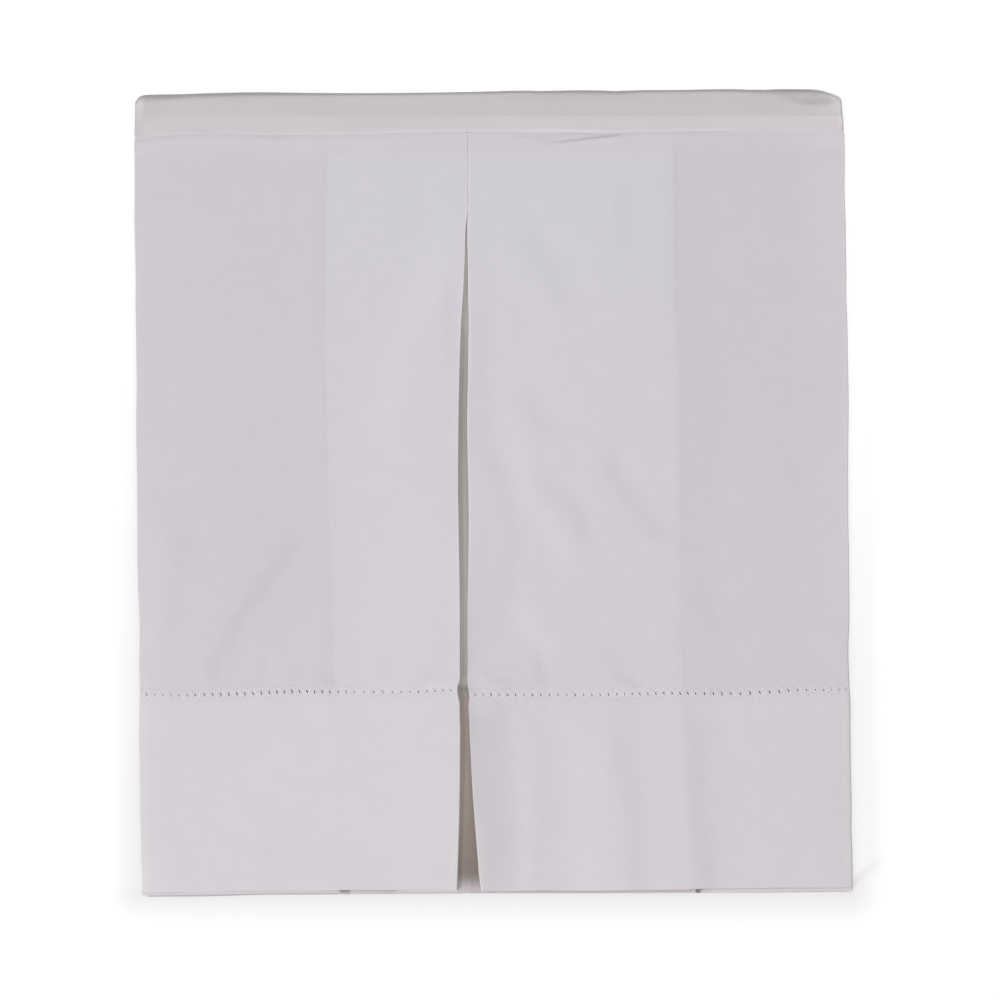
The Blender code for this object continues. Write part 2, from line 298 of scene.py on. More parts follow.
#      x     how far the holes are drawn open
OPEN = (
    (-175.0, 0.70),
    (-152.0, 0.80),
    (-149.0, 0.99),
    (-100.0, 0.94),
    (-80.0, 0.80),
    (-70.0, 0.62),
    (-22.0, 0.62),
    (-9.7, 0.62),
    (10.0, 0.71),
    (40.0, 0.62),
    (92.0, 0.70),
    (101.0, 0.88),
    (150.0, 0.79),
    (163.0, 0.66),
    (177.0, 0.55),
)

# ---- creases pressed into the face --------------------------------------------------------
# Each runs through its points. Within half width either side of the line the cloth turns
# away from the window, by height, and is painted that much darker (painted shade; above
# zero, lighter: painted light).
#     painted tone  half width  height  fade in, out  points
STREAKS = (
    # left of the pleat
    (-0.030, 3.4, 0.18, 0.22, 0.05, ((-93, -14), (-98.3, -24), (-104.1, -31), (-117.6, -47.8), (-124.2, -57), (-131, -68.7), (-136.8, -77.1), (-140.2, -83.8), (-144, -96))),
    (-0.016, 7.4, 0.10, 0.30, 0.12, ((-92, -8), (-98.5, -20), (-109.5, -36), (-124.6, -56), (-132, -72), (-143, -92), (-146, -98))),
    (-0.016, 6.0, 0.14, 0.3, 0.25, ((-158, 4), (-156.5, -38), (-163, -64), (-168, -80))),
    (0.012, 6.5, 0.12, 0.3, 0.3, ((-86, -62), (-104, -78), (-118, -94))),
    (0.026, 9.0, 0.16, 0.25, 0.35, ((-21, 152), (-28, 124), (-40, 92), (-48, 72), (-54, 40), (-56, 0))),
    (-0.014, 4.0, 0.10, 0.2, 0.3, ((-22, 112), (-22, 80), (-22, 36))),
    (-0.014, 2.2, 0.04, 0.3, 0.3, ((-39, 9), (-30, 13), (-22, 19.5))),
    (-0.022, 2.0, 0.05, 0.3, 0.1, ((-115, -81), (-118, -93))),
    (-0.034, 1.6, 0.04, 0.3, 0.1, ((-88, -93), (-79, -95.6))),
    (-0.030, 1.6, 0.04, 0.3, 0.1, ((-141, -94.5), (-131, -96.4))),
    # right of it
    (-0.023, 5.6, 0.16, 0.2, 0.2, ((-6, 118), (-6, 76), (-6, 23), (4, 5), (9, -22), (5, -58), (1, -82))),
    (-0.010, 2.0, 0.03, 0.2, 0.2, ((0.7, -15), (0.7, -51))),
    (-0.020, 6.4, 0.18, 0.2, 0.3, ((10, 134), (20, 121), (30, 108), (40, 90), (46, 78))),
    (-0.022, 5.2, 0.16, 0.2, 0.3, ((11, 54), (15, 47), (22, 35), (36, 26))),
    (-0.034, 5.0, 0.20, 0.15, 0.2, ((54, 24), (57.5, 16.5), (60.5, 7.4), (67.8, -1.6), (75.4, -11.9), (83.2, -20.9), (90, -28))),
    (-0.034, 4.2, 0.16, 0.25, 0.15, ((22, 6), (28, 1.5), (36.9, -4), (40.7, -10), (44.6, -17), (45.4, -26))),
    (0.014, 3.5, 0.06, 0.3, 0.3, ((38, 18), (44, 4), (51, -8))),
    (-0.009, 3.6, 0.06, 0.3, 0.3, ((61.5, 68), (61.5, 28))),
    (-0.010, 4.6, 0.05, 0.3, 0.3, ((65.5, 170), (65.5, 140), (63.5, 104))),
    (-0.010, 1.6, 0.03, 0.2, 0.3, ((62.4, 172), (62.4, 140), (61.4, 112))),
    (-0.009, 2.0, 0.05, 0.3, 0.3, ((126, 165), (126, 137))),
    (0.022, 5.4, 0.12, 0.25, 0.25, ((10, 36), (12.5, 16), (14.5, 0), (23, -11), (34, -27), (37, -48))),
    (0.026, 4.6, 0.14, 0.2, 0.2, ((9, -52), (12.4, -58.3), (20.7, -68.6), (28.4, -76.3), (30.6, -86))),
    (-0.014, 4.4, 0.12, 0.25, 0.2, ((101, -45), (106.5, -60), (113, -72), (121, -84))),
    (-0.008, 5.0, 0.06, 0.3, 0.3, ((145, 14), (157, 2))),
    # drawn in by the hemstitch, above and below it
    (-0.048, 2.4, 0.10, 0.3, 0.06, ((17.5, -79), (22, -86), (24.8, -96.5))),
    (-0.050, 2.3, 0.10, 0.2, 0.06, ((57, -86), (63, -92), (74, -97.6))),
    (-0.050, 1.9, 0.10, 0.2, 0.06, ((-7, -88), (0, -93), (9, -97.2))),
    (0.014, 2.6, 0.06, 0.3, 0.2, ((66, -80), (70, -87), (78, -95))),
    (-0.012, 4.5, 0.08, 0.3, 0.2, ((-92, -90), (-78, -96))),
    (-0.016, 4.5, 0.08, 0.3, 0.2, ((-62, -84), (-50, -91))),
    (-0.034, 1.7, 0.05, 0.25, 0.1, ((-47, -95.5), (-36, -94), (-30.5, -90.6), (-22, -91.5))),
    # hanging in the hem
    (-0.062, 10.0, 0.28, 0.14, 0.0, ((-6, -103), (-4, -134), (-2, -201))),
    (0.020, 4.6, 0.10, 0.5, 0.0, ((13.5, -103), (15, -140), (17, -201))),
    (-0.010, 4.0, 0.06, 0.3, 0.0, ((24.5, -102), (24.7, -201))),
    (0.020, 13.0, 0.24, 0.3, 0.0, ((42, -102), (44, -140), (47, -201))),
    (-0.026, 6.2, 0.16, 0.25, 0.0, ((62.4, -103), (64.4, -127), (70.4, -167), (73.4, -201))),
    (-0.027, 5.2, 0.18, 0.2, 0.0, ((97.8, -103), (100.2, -123), (102, -150), (104, -172), (107.5, -190), (109, -201))),
    (0.006, 2.4, 0.03, 0.2, 0.0, ((93.5, -103), (95, -130), (96, -170), (97.5, -201))),
    (-0.012, 11.0, 0.10, 0.2, 0.0, ((107, -103), (107, -201))),
    (-0.012, 4.4, 0.08, 0.3, 0.1, ((-115, -150), (-114, -198))),
    (-0.006, 6.0, 0.08, 0.3, 0.0, ((-92, -102), (-89, -201))),
)
# short puckers below the hemstitch: x, half width, length, height, tone (painted shade in the pucker)
PUCKERS = (
    (3.0, 1.6, 14.0, -0.22, -0.032),
    (17.0, 1.5, 13.0, -0.20, -0.034),
    (26.6, 1.4, 13.0, -0.20, -0.034),
    (65.0, 1.9, 13.0, -0.24, -0.040),
    (98.6, 1.8, 12.0, -0.22, -0.034),
    (107.6, 1.5, 10.0, -0.18, -0.024),
    (-147.0, 2.0, 13.0, -0.20, -0.022),
    (-104.0, 2.0, 10.0, -0.16, -0.014),
    (142.0, 2.2, 10.0, -0.16, -0.014),
)
# soft patches of painted light and shade
#      x    y    half width, half height, tone
LIGHT_AND_SHADE_PATCHES = (
    (-120, 110, 60, 90, -0.006),
    (-120, -10, 45, 50, -0.010),
    (-90, -60, 20, 60, -0.010),
    (-60, -50, 45, 70, 0.014),
    (-172, -60, 6, 60, 0.026),
    (-60, 120, 40, 60, -0.002),
    (-43, 137, 6, 7, -0.010),
    (20, 110, 40, 60, 0.006),
    (75, 130, 16, 50, -0.004),
    (50, -40, 50, 60, -0.008),
    (-2, -50, 8, 50, -0.012),
    (178, 80, 16, 110, 0.040),
    (4, -112, 6, 14, -0.034),
    (11, -147, 21, 72, -0.036),
    (6, -176, 8, 14, -0.018),
    (31, -160, 7, 36, -0.018),
    (-7, -40, 6, 55, -0.026),
    (163, 145, 9, 55, 0.022),
    (172, 58, 7, 40, -0.016),
    (-176, -193, 10, 13, 0.045),
    (-42, -38, 20, 50, 0.016),
    (-38, -186, 14, 20, 0.018),
    (60, -86, 48, 6, -0.012),
    (178, 165, 16, 30, 0.020),
    (178, -50, 16, 60, 0.014),
    (-176, -150, 9, 50, 0.018),
    (120, 90, 22, 60, -0.004),
    (-110, -150, 70, 45, 0.010),
    (-40, -150, 26, 45, 0.026),
    (145, -150, 42, 60, -0.008),
    (55, -80, 14, 7, -0.012),
    (24, -95.5, 24, 3.4, -0.024),
    (60, -106, 12, 8, -0.016),
    (172.5, -150, 4.5, 60, -0.018),
    (72, -150, 24, 60, -0.008),
)
AWAY = (0.78, 0.62)  # across the cloth, away from the window

# ---- the deck ------------------------------------------------------------------------------
DECK_TOP = FACE + FACE_LIFT - 0.85  # middle ply of the band, so that its top ply meets the face
#      end  crest   lower                         upper
DECK_FOLDS = (
    (-1, -201.8, DECK_FIRST, DECK_FIRST + DECK_PITCH),
    (+1, 193.4, DECK_FIRST + DECK_PITCH, DECK_FIRST + 2 * DECK_PITCH + 0.7),
    (-1, -200.3, DECK_FIRST + 2 * DECK_PITCH, DECK_FIRST + 3 * DECK_PITCH),
    (+1, 194.6, DECK_FIRST + 3 * DECK_PITCH + 0.7, DECK_LAST + 2.6),
)
DECK_END = -193.0
#      x     how far the hem-end folds stay back
DECK_BACK = (
    (-182.0, -0.8),
    (-147.0, -0.6),
    (-120.0, 0.2),
    (-104.0, 0.2),
    (-80.0, 0.4),
    (-62.0, 0.8),
    (-50.0, 1.0),
    (-20.0, 1.2),
    (40.0, 1.1),
    (75.0, 1.0),
    (110.0, 1.1),
    (140.0, 1.3),
    (182.0, 1.75),
)
#      layer  left  right: how far it stays inside the panel's outline
LAYERS = ((0, 1.3, 0.9), (1, 1.9, 0.6), (2, 1.0, 1.6), (3, 2.2, 1.0), (4, 1.4, 1.9))
#      x     tip (outer side)  drop  reach of the rounding
ROLL = (
    (-180.7, 196.2, 1.5, 2.6),
    (-180.2, 198.0, 1.3, 2.8),
    (-179.2, 199.4, 1.1, 3.2),
    (-177.9, 200.2, 0.9, 3.6),
    (-176.0, 200.6, 0.7, 4.2),
    (-172.8, 200.7, 0.5, 4.6),
    (-167.8, 200.8, 0.3, 4.6),
    (-157.8, 200.9, 0.1, 3.4),
    (-147.7, 201.3, 0.0, 3.0),
    (-132.6, 201.7, 0.0, 2.8),
    (-117.6, 201.9, 0.0, 2.7),
    (-97.5, 201.6, 0.0, 2.1),
    (-47.2, 201.5, 0.0, 1.7),
    (3.1, 202.4, 0.0, 1.7),
    (13.0, 202.7, 0.0, 1.8),
    (24.0, 202.5, 0.0, 1.9),
    (43.0, 202.9, 0.0, 2.2),
    (53.3, 202.8, 0.0, 2.3),
    (63.0, 202.5, 0.0, 2.2),
    (73.0, 202.9, 0.0, 2.0),
    (93.5, 203.0, 0.0, 1.7),
    (113.6, 203.4, 0.0, 2.0),
    (124.0, 203.4, 0.0, 2.0),
    (133.7, 203.0, 0.0, 2.0),
    (143.8, 203.4, 0.1, 2.2),
    (153.9, 203.4, 0.2, 2.4),
    (163.9, 203.1, 0.4, 2.6),
    (166.8, 202.6, 0.4, 2.6),
    (169.3, 201.8, 0.5, 2.6),
    (171.4, 201.2, 0.6, 2.6),
    (173.2, 200.6, 0.8, 2.6),
    (174.6, 199.8, 0.9, 2.6),
    (175.6, 199.0, 1.1, 2.6),
    (176.4, 198.0, 1.3, 2.6),
)


# ---- small tools ---------------------------------------------------------------------------
def smooth(table, x, column=1):
    """A cubic through the points of one column of a table, level past its ends."""
    rows = sorted(table)
    xs = np.array([r[0] for r in rows], float)
    ys = np.array([r[column] for r in rows], float)
    slope = np.gradient(ys, xs)
    x = np.clip(np.asarray(x, float), xs[0], xs[-1])
    i = np.clip(np.searchsorted(xs, x) - 1, 0, len(xs) - 2)
    h = xs[i + 1] - xs[i]
    t = (x - xs[i]) / h
    return (
        (2 * t**3 - 3 * t**2 + 1) * ys[i]
        + (t**3 - 2 * t**2 + t) * h * slope[i]
        + (3 * t**2 - 2 * t**3) * ys[i + 1]
        + (t**3 - t**2) * h * slope[i + 1]
    )


def straight(table, x, column=1):
    rows = sorted(table)
    return np.interp(x, [r[0] for r in rows], [r[column] for r in rows])


def ease(t):
    t = np.clip(t, 0.0, 1.0)
    return t * t * (3 - 2 * t)


def ripple(x, y, size, seed, waves=7):
    """Soft unevenness of about unit height, the same on each run."""
    rng = np.random.default_rng(seed)
    total = 0.0
    for _ in range(waves):
        turn, phase = rng.uniform(0, math.pi), rng.uniform(0, 2 * math.pi)
        rate = 2 * math.pi / (size * rng.uniform(0.6, 1.6))
        total = total + np.sin(rate * (x * math.cos(turn) + y * math.sin(turn)) + phase)
    return total / math.sqrt(waves / 2)


def off_line(x, y, points):
    """Signed distance from a line through points, positive on its right, looking along
    it, and the share of the line's length at the nearest place."""
    best = np.full(np.broadcast(x, y).shape, 1e9)
    signed = np.zeros_like(best)
    along = np.zeros_like(best)
    whole = sum(math.dist(a, b) for a, b in zip(points, points[1:]))
    gone = 0.0
    for (x0, y0), (x1, y1) in zip(points, points[1:]):
        dx, dy = x1 - x0, y1 - y0
        length = math.hypot(dx, dy)
        t = np.clip(((x - x0) * dx + (y - y0) * dy) / length**2, 0, 1)
        ex, ey = x - x0 - t * dx, y - y0 - t * dy
        away = np.hypot(ex, ey)
        side = np.sign((x - x0) * dy - (y - y0) * dx)
        near = away < best
        best = np.where(near, away, best)
        signed = np.where(near, away * side, signed)
        along = np.where(near, (gone + t * length) / whole, along)
        gone += length
    return signed, along


# ---- the shape of the drop panel --------------------------------------------------------------
def side(name, y):
    column = {"left": 1, "right": 2, "return_left": 3, "return_right": 4}[name]
    out = 0.0
    if name == "right":
        y = np.asarray(y, float)
        out = 0.35 * ease((y + 85) / 70) - 0.12 + 0.42 * ease((-110 - y) / 40)
        out = out + 0.12 * np.exp(-(((y - 50) / 40) ** 2)) + smooth(OUT_RIGHT, y)
    if name == "left":
        out = smooth(OUT_LEFT, np.asarray(y, float))
    return smooth(SIDES, np.asarray(y, float) + CENTRE_Y, column) - CENTRE_X + out


def lip(name, y):
    return smooth(LIPS, y, 1 if name == "left" else 2)


def seam_y(x):
    return smooth(SEAM, x) + smooth(SEAM_WAVE, x)


def stitch_y(x, y=None):
    x = np.asarray(x, float)
    split = -15.5
    return np.where(x < split, smooth(STITCH_LEFT, x), smooth(STITCH_RIGHT, x))


def hem_y(x, ply):
    column = 1 + ("face", "return", "underlay", "wing_left", "wing_right").index(ply)
    return straight(HEM_ENDS, x, column)


def beside(x, y):
    """How far the cloth has come down off the pleat: gently at its left, and on its right
    first over the edge of the cloth beneath."""
    left = ease((side("return_left", y) - x) / 20.0)
    over = x - side("return_right", y)
    return left + 0.20 * ease((over + 0.4) / 1.6) + 0.80 * ease(over / 22.0)


def in_hem(x, y):
    """How far below the hemstitch, in millimetres."""
    return stitch_y(x) - y


def creases(x, y):
    """Height of everything pressed or drawn into the face, and the painted light and shade that go with it."""
    z = 0.09 * ripple(x, y, 90, 11) + 0.03 * ripple(x, y, 26, 12)
    tone = 0.0 * z
    for amount, half, height, fade_in, fade_out, points in STREAKS:
        off, along = off_line(x, y, points)
        (x0, y0), (x1, y1) = points[0], points[-1]
        way = 1 if (y1 - y0) * AWAY[0] - (x1 - x0) * AWAY[1] > 0 else -1
        t = way * off / half
        fade = ease(along / fade_in)
        if fade_out:
            fade = fade * ease((1 - along) / fade_out)
        turn_ = -1 if amount < 0 else 1
        z = z + turn_ * height * t * np.exp(0.5 - t * t / 2) * fade
        # painted shade along the crease; above zero the tone is painted light
        tone = tone + amount * np.exp(-0.8 * t * t) * fade
    away = y - stitch_y(x)
    uneven = 0.5 + 0.5 * np.clip(ripple(x, 0 * x, 7, 61), -1, 1)
    # painted light along the hemstitch's hole row, and painted shade along its upper and lower stitch lines
    tone = tone + 0.030 * np.exp(-((away / 1.7) ** 4))
    tone = tone - (0.012 + 0.034 * uneven) * np.exp(-(((away - 2.3) / 0.45) ** 2))
    tone = tone - (0.034 - 0.026 * uneven) * np.exp(-(((away + 2.3) / 0.45) ** 2))
    down = in_hem(x, y)
    run = down - STITCH_HALF * 0.5
    # puckers below the hemstitch, with painted shade in each
    for at, half, length, height, amount in PUCKERS:
        fade = np.where(run > 0, np.clip(1 - run / length, 0, 1) ** 1.3, 0.0)
        fade = fade * ease(run / 1.5) * np.exp(-(((x - at) / half) ** 2))
        z = z + height * fade
        tone = tone + amount * fade
    # soft patches of painted light and shade
    for at_x, at_y, half_x, half_y, amount in LIGHT_AND_SHADE_PATCHES:
        tone = tone + amount * np.exp(
            -(((x - at_x) / half_x) ** 2) - ((y - at_y) / half_y) ** 2
        )
    # painted shade: next to the pleat the single cloth is a little darker, most of all close to it
    left = side("return_left", y) - x
    right = x - side("return_right", y)
    upper = 1 - 0.85 * ease((down + 2) / 4)
    tone = tone - 0.020 * upper * ease((left + 0.6) / 1.2) * np.exp(-np.maximum(left, 0) / 9.0)
    tone = tone - 0.012 * upper * ease((right + 0.6) / 1.2) * np.exp(-np.maximum(right, 0) / 7.0)
    # the shut part is drawn in along the stitches, with painted shade in its groove
    shut = ease((y - 146.0) / 3.0) * ease((181.5 - y) / 1.0)
    z = z - 0.16 * shut * np.exp(-(((x + 13.0) / 0.55) ** 2))
    tone = tone - 0.070 * shut * np.exp(-(((x + 12.85) / 0.55) ** 2))
    tone = tone - 0.018 * shut * np.exp(-(((x + 12.0) / 1.6) ** 2))
    # light and shade along the pleat's two fold edges
    tone = tone + straight(RIM_LEFT, y) * np.exp(-((np.maximum(lip("left", y) - x, 0) / 0.9) ** 2)) * (x < -13)
    off = np.maximum(x - lip("right", y), 0)
    by_right = straight(RIM_RIGHT, y) * np.exp(-off / 0.9) + straight(RIM_RIGHT, y, 2) * np.exp(-off / 4.5)
    tone = tone + by_right * (x > -13.6)
    return z, tone


TUCK = ((26.0, 175.4), (35.2, 176.3), (44.0, 177.4), (52.0, 178.4), (59.5, 179.1), (66.0, 179.6))
TUCK_LEFT = ((10.0, 179.4), (19.0, 177.8), (28.0, 176.0))


def relief(x, y):
    z, _ = creases(x, y)
    down = in_hem(x, y)
    # the hemstitch draws the cloth in, and the turned-in edge below it fills it out
    z = z - 0.10 * np.exp(-((down / 3.0) ** 2))
    z = z + 0.14 * ease((down + 0.5) / 1.5) * (1 - ease((down - HEM_ALLOWANCE) / 1.6))
    z = z + 0.10 * ease(down / 3.0)
    # the seam allowance under the top, and the dip to the seam
    below = seam_y(x) - y
    z = z + 0.05 * (1 - ease((below - SEAM_ALLOWANCE + 1.6) / 3.2)) * ease(below / 3.0)
    dip = 0.22 + 0.04 * ripple(x, 0 * x, 40, 21)
    dip = dip * (1 - 0.3 * ease((x - 128) / 18))
    z = z - dip * np.exp(-((np.maximum(below, 0) / 1.5) ** 1.6))
    # tucks that the seam catches, right of the pleat
    for points, height, soft in ((TUCK, 0.55, 0.8), (TUCK_LEFT, 0.16, 1.2)):
        off, along = off_line(x, y, points)
        fade = ease(along / 0.25) * ease((1 - along) / 0.2)
        rise = np.where(off > 0, np.exp(-((off / 2.6) ** 2)), 1 - ease(-off / soft))
        z = z + fade * height * rise
    # faint line that the hidden fold edge of the pleat prints through
    for name, way in (("return_left", 1), ("return_right", -1)):
        inside = way * (x - side(name, y))
        print_ = 0.05 * (1 - 0.9 * ease((down + 2) / 4))
        z = z + print_ * ease((inside + 1.0) / 2.2) * (1 - ease((inside - 3) / 14))
    # the fold edges stand up a little, and more at the stitches
    for name in ("left", "right"):
        from_lip = np.abs(x - lip(name, y))
        open_here = 1 - ease((y - SHUT_TO + 24) / 24)
        z = z + 0.14 * open_here * np.exp(-((from_lip / 3.4) ** 2))
        knob = np.exp(-((down / 4.0) ** 2))
        z = z + 0.22 * knob * np.exp(-((from_lip / 2.0) ** 2))
    # the outer edges round off
    for name in ("left", "right"):
        from_edge = np.abs(x - side(name, y))
        z = z - 0.12 * np.exp(-from_edge / 2.6)
    # the hem's lower edge lies closer to what is below
    z = z - 0.08 * np.exp(-np.maximum(y - hem_y(x, "face"), 0) / 2.5)
    return z


def face_z(x, y):
    return FACE + FACE_LIFT - SINK * beside(x, y) + relief(x, y)


def hole_places(table):
    """Where the holes of one side are: evenly spaced between the places of a table."""
    return straight(table, np.arange(table[-1][0] + 1))


def with_middles(places, start, end, fill):
    """Columns at the places, halfway between them, and out to start and end."""
    pitch = (places[-1] - places[0]) / (len(places) - 1)
    halves = np.concatenate(
        [
            [places[0] - min(pitch / 2, (places[0] - start) * 0.6)],
            (places[:-1] + places[1:]) / 2,
            [places[-1] + min(pitch / 2, (end - places[-1]) * 0.6)],
        ]
    )
    inner = np.sort(np.concatenate([places, halves]))
    out = list(inner)
    near = inner[0] - start
    out += [start + near * f for f in fill if near * (1 - f) > 0.4]
    far = end - inner[-1]
    out += [end - far * f for f in fill if far * (1 - f) > 0.4]
    return np.array(sorted(out))


def turn(centre, z0, z1, way, count, power=2.0):
    """The points of a fold between two levels at centre, without its two ends."""
    angle = np.linspace(-math.pi / 2, math.pi / 2, count + 2)[1:-1]
    c, s = np.cos(angle), np.sin(angle)
    reach = abs(z1 - z0) / 2
    across = reach * c ** (2 / power)
    up = np.sign(s) * np.abs(s) ** (2 / power)
    return centre + way * across, (z0 + z1) / 2 + (z1 - z0) / 2 * up


FOOT = {
    "left": float(side("left", -199.0)),
    "right": float(side("right", -199.0)),
    "lip": float(lip("left", -199.0)),
    "return_left": float(side("return_left", -199.0)),
}
STITCH_NOMINAL = -100.4
HIDDEN_STITCHES = -98.6
HALF = PANEL_CLOTH / 2
LEFT_HOLES, RIGHT_HOLES = hole_places(HOLES_LEFT), hole_places(HOLES_RIGHT)


def spread(a, b, n, gather=1.0):
    """n places from a towards b, closer together near a if gather is over 1."""
    return a + (b - a) * (np.arange(n) / n) ** gather


# where the ends of the lower plies hang back, each ply has columns of its own
SLIT_WING = (-77.6, -76.2, -72.8, -71.6, -50.6, -48.3, 101.2, 101.7, 103.5, 104.2)
SLIT_PLEAT = (-77.6, -76.2, -50.6, -48.3)


def shares(places, extra, start, end):
    """Places and the extra ones between start and end, as shares of the way."""
    own = [(p - start) / (end - start) for p in places]
    own += [(p - start) / (end - start) for p in extra]
    return np.array(sorted(own))


def panel_row(y):
    """The strip across the stack at height y, as arrays (x, z, ply, on_face). It runs
    from the free end of the left wing, round the left side, over the face, through the
    pleat, round the right side and to the free end of the right wing."""
    left, right = side("left", y), side("right", y)
    lip_l, lip_r = lip("left", y), lip("right", y)
    ret_l, ret_r = side("return_left", y), side("return_right", y)
    fuller = float(ease((-y - 97.0) / 8.0))  # below the stitches the hem makes folds fuller
    r_side = 0.50 + 0.14 * fuller
    r_lip = 0.34 + 0.28 * fuller
    shut = float(ease((y - SHUT_TO + 6) / 6))
    power = 2.2 + 1.8 * float(ease((y - SHUT_TO + 40) / 40)) + 3.0 * shut
    r_lip = r_lip - 0.08 * shut

    xs, zs, plies, faces = [], [], [], []

    def add(x, z, ply, on_face):
        x = np.atleast_1d(x)
        xs.append(x)
        zs.append(np.broadcast_to(z, x.shape).astype(float))
        plies.append([ply] * len(x))
        faces.append(np.broadcast_to(on_face, x.shape).astype(float))

    # left wing and left side
    left_c = left + HALF + r_side
    top = float(face_z(left_c, y))
    low = top - 2 * r_side
    e0, e1 = FOOT["left"] + HALF + 0.64, FOOT["left"] + WING
    way = shares(spread(e0, e1, 11, 2.2), SLIT_WING, e0, e1)[::-1]
    wx = left_c + (left + WING - left_c) * way
    rest = WING_LEFT + 0.1 + (WING_RISE - 0.1) * beside(wx, y)
    near = ease((wx - left_c) / 16)
    add(wx, low + (rest - low) * near, "wing_left", 0.0)
    tx, tz = turn(left_c, low, top, -1, 7)
    add(tx, tz, "wing_left", ease(np.linspace(0, 1, 9)[1:-1]))
    # face, left of the pleat
    lip_c = lip_l - HALF - r_lip
    at_y = -99.9
    l0, l1 = float(side("left", at_y)) + 0.7, float(lip("left", at_y)) - 0.8
    share = (with_middles(LEFT_HOLES, l0, l1, (0.0, 0.5)) - l0) / (l1 - l0)
    fx = left_c + (lip_c - left_c) * share
    add(fx, face_z(fx, y), "face", 1.0)
    # left fold edge, left return
    z_lip = float(face_z(lip_c, y))
    z_back = z_lip - 2 * r_lip
    tx, tz = turn(lip_c, z_lip, z_back, 1, 6, power)
    add(tx, tz, "lip", 1 - ease(np.linspace(0, 1, 8)[1:-1]))
    r_ret = (RETURN - UNDERLAY) / 2
    ret_c = ret_l + 0.5 + r_ret
    e0, e1 = FOOT["lip"] - HALF - 0.62, FOOT["return_left"] + 0.5 + r_ret
    rx = lip_c + (ret_c - lip_c) * shares(spread(e0, e1, 8, 1.6), SLIT_PLEAT, e0, e1)
    add(rx, z_back + (RETURN + 0.1 - z_back) * ease((lip_c - rx) / 16), "return", 0.0)
    tx, tz = turn(ret_c, RETURN + 0.1, UNDERLAY, -1, 4)
    add([ret_c], [RETURN + 0.1], "return", 0.0)
    add(tx, tz, "return", 0.0)
    # underlay, fine where it shows between the fold edges
    ret_rc = ret_r - 0.5 - r_ret
    ux = np.concatenate(
        [
            ret_c + (-29.8 - ret_c) * shares(spread(e1, -29.8, 5), SLIT_PLEAT, e1, -29.8),
            np.array([-29.8, -26.0, -22.5]),
            np.linspace(-19.6, -5.2, 19),
            np.array([-3.0, 0.5, 4.2]),
            4.2 + (ret_rc - 4.2) * np.arange(1, 7) / 6,
        ]
    )
    add(ux, underlay_z(ux, y), "underlay", 0.0)
    tx, tz = turn(ret_rc, UNDERLAY, RETURN + 0.1, 1, 4)
    add(tx, tz, "return", 0.0)
    # right return, right fold edge
    lip_rc = lip_r + HALF + r_lip
    z_lip = float(face_z(lip_rc, y))
    z_back = z_lip - 2 * r_lip
    rx = spread(lip_rc, ret_rc, 8, 1.6)[::-1]
    add([ret_rc], [RETURN + 0.1], "return", 0.0)
    add(rx, z_back + (RETURN + 0.1 - z_back) * ease((rx - lip_rc) / 16), "return", 0.0)
    tx, tz = turn(lip_rc, z_back, z_lip, -1, 6, power)
    add(tx, tz, "lip", ease(np.linspace(0, 1, 8)[1:-1]))
    # face, right of the pleat
    right_c = right - HALF - r_side
    r0, r1 = float(lip("right", at_y)) + 0.8, float(side("right", at_y)) - 0.7
    share = (with_middles(RIGHT_HOLES, r0, r1, (0.0, 0.5)) - r0) / (r1 - r0)
    fx = lip_rc + (right_c - lip_rc) * share
    add(fx, face_z(fx, y), "face", 1.0)
    # right side and right wing
    top = float(face_z(right_c, y))
    low = top - 2 * r_side
    tx, tz = turn(right_c, top, low, 1, 7)
    add(tx, tz, "wing_right", 1 - ease(np.linspace(0, 1, 9)[1:-1]))
    e0, e1 = FOOT["right"] - HALF - 0.64, FOOT["right"] - WING
    wx = right_c + (right - WING - right_c) * shares(spread(e0, e1, 10, 2.2), SLIT_WING, e0, e1)
    rest = WING_RIGHT + 0.1 + (WING_RISE - 0.1) * beside(wx, y)
    near = ease((right_c - wx) / 26)
    add(wx, low + (rest - low) * near, "wing_right", 0.0)
    return (
        np.concatenate(xs),
        np.concatenate(zs),
        [p for row in plies for p in row],
        np.concatenate(faces),
    )


#           y     painted shade of the cloth inside the pleat, as a tone
INSIDE = (
    (-202.0, 0.16),
    (-199.2, 0.08),
    (-197.8, 0.0),
    (-195.0, -0.42),
    (-190.0, -0.56),
    (-170.0, -0.47),
    (-150.0, -0.38),
    (-120.0, -0.34),
    (-106.0, -0.32),
    (-101.0, -0.30),
    (-98.5, -0.48),
    (-96.0, -0.16),
    (-92.0, -0.09),
    (-80.0, -0.03),
    (-60.0, -0.01),
    (-20.0, -0.05),
    (0.0, -0.11),
    (40.0, -0.16),
    (60.0, -0.12),
    (75.0, -0.02),
    (90.0, 0.05),
    (100.0, 0.20),
    (112.0, 0.30),
)


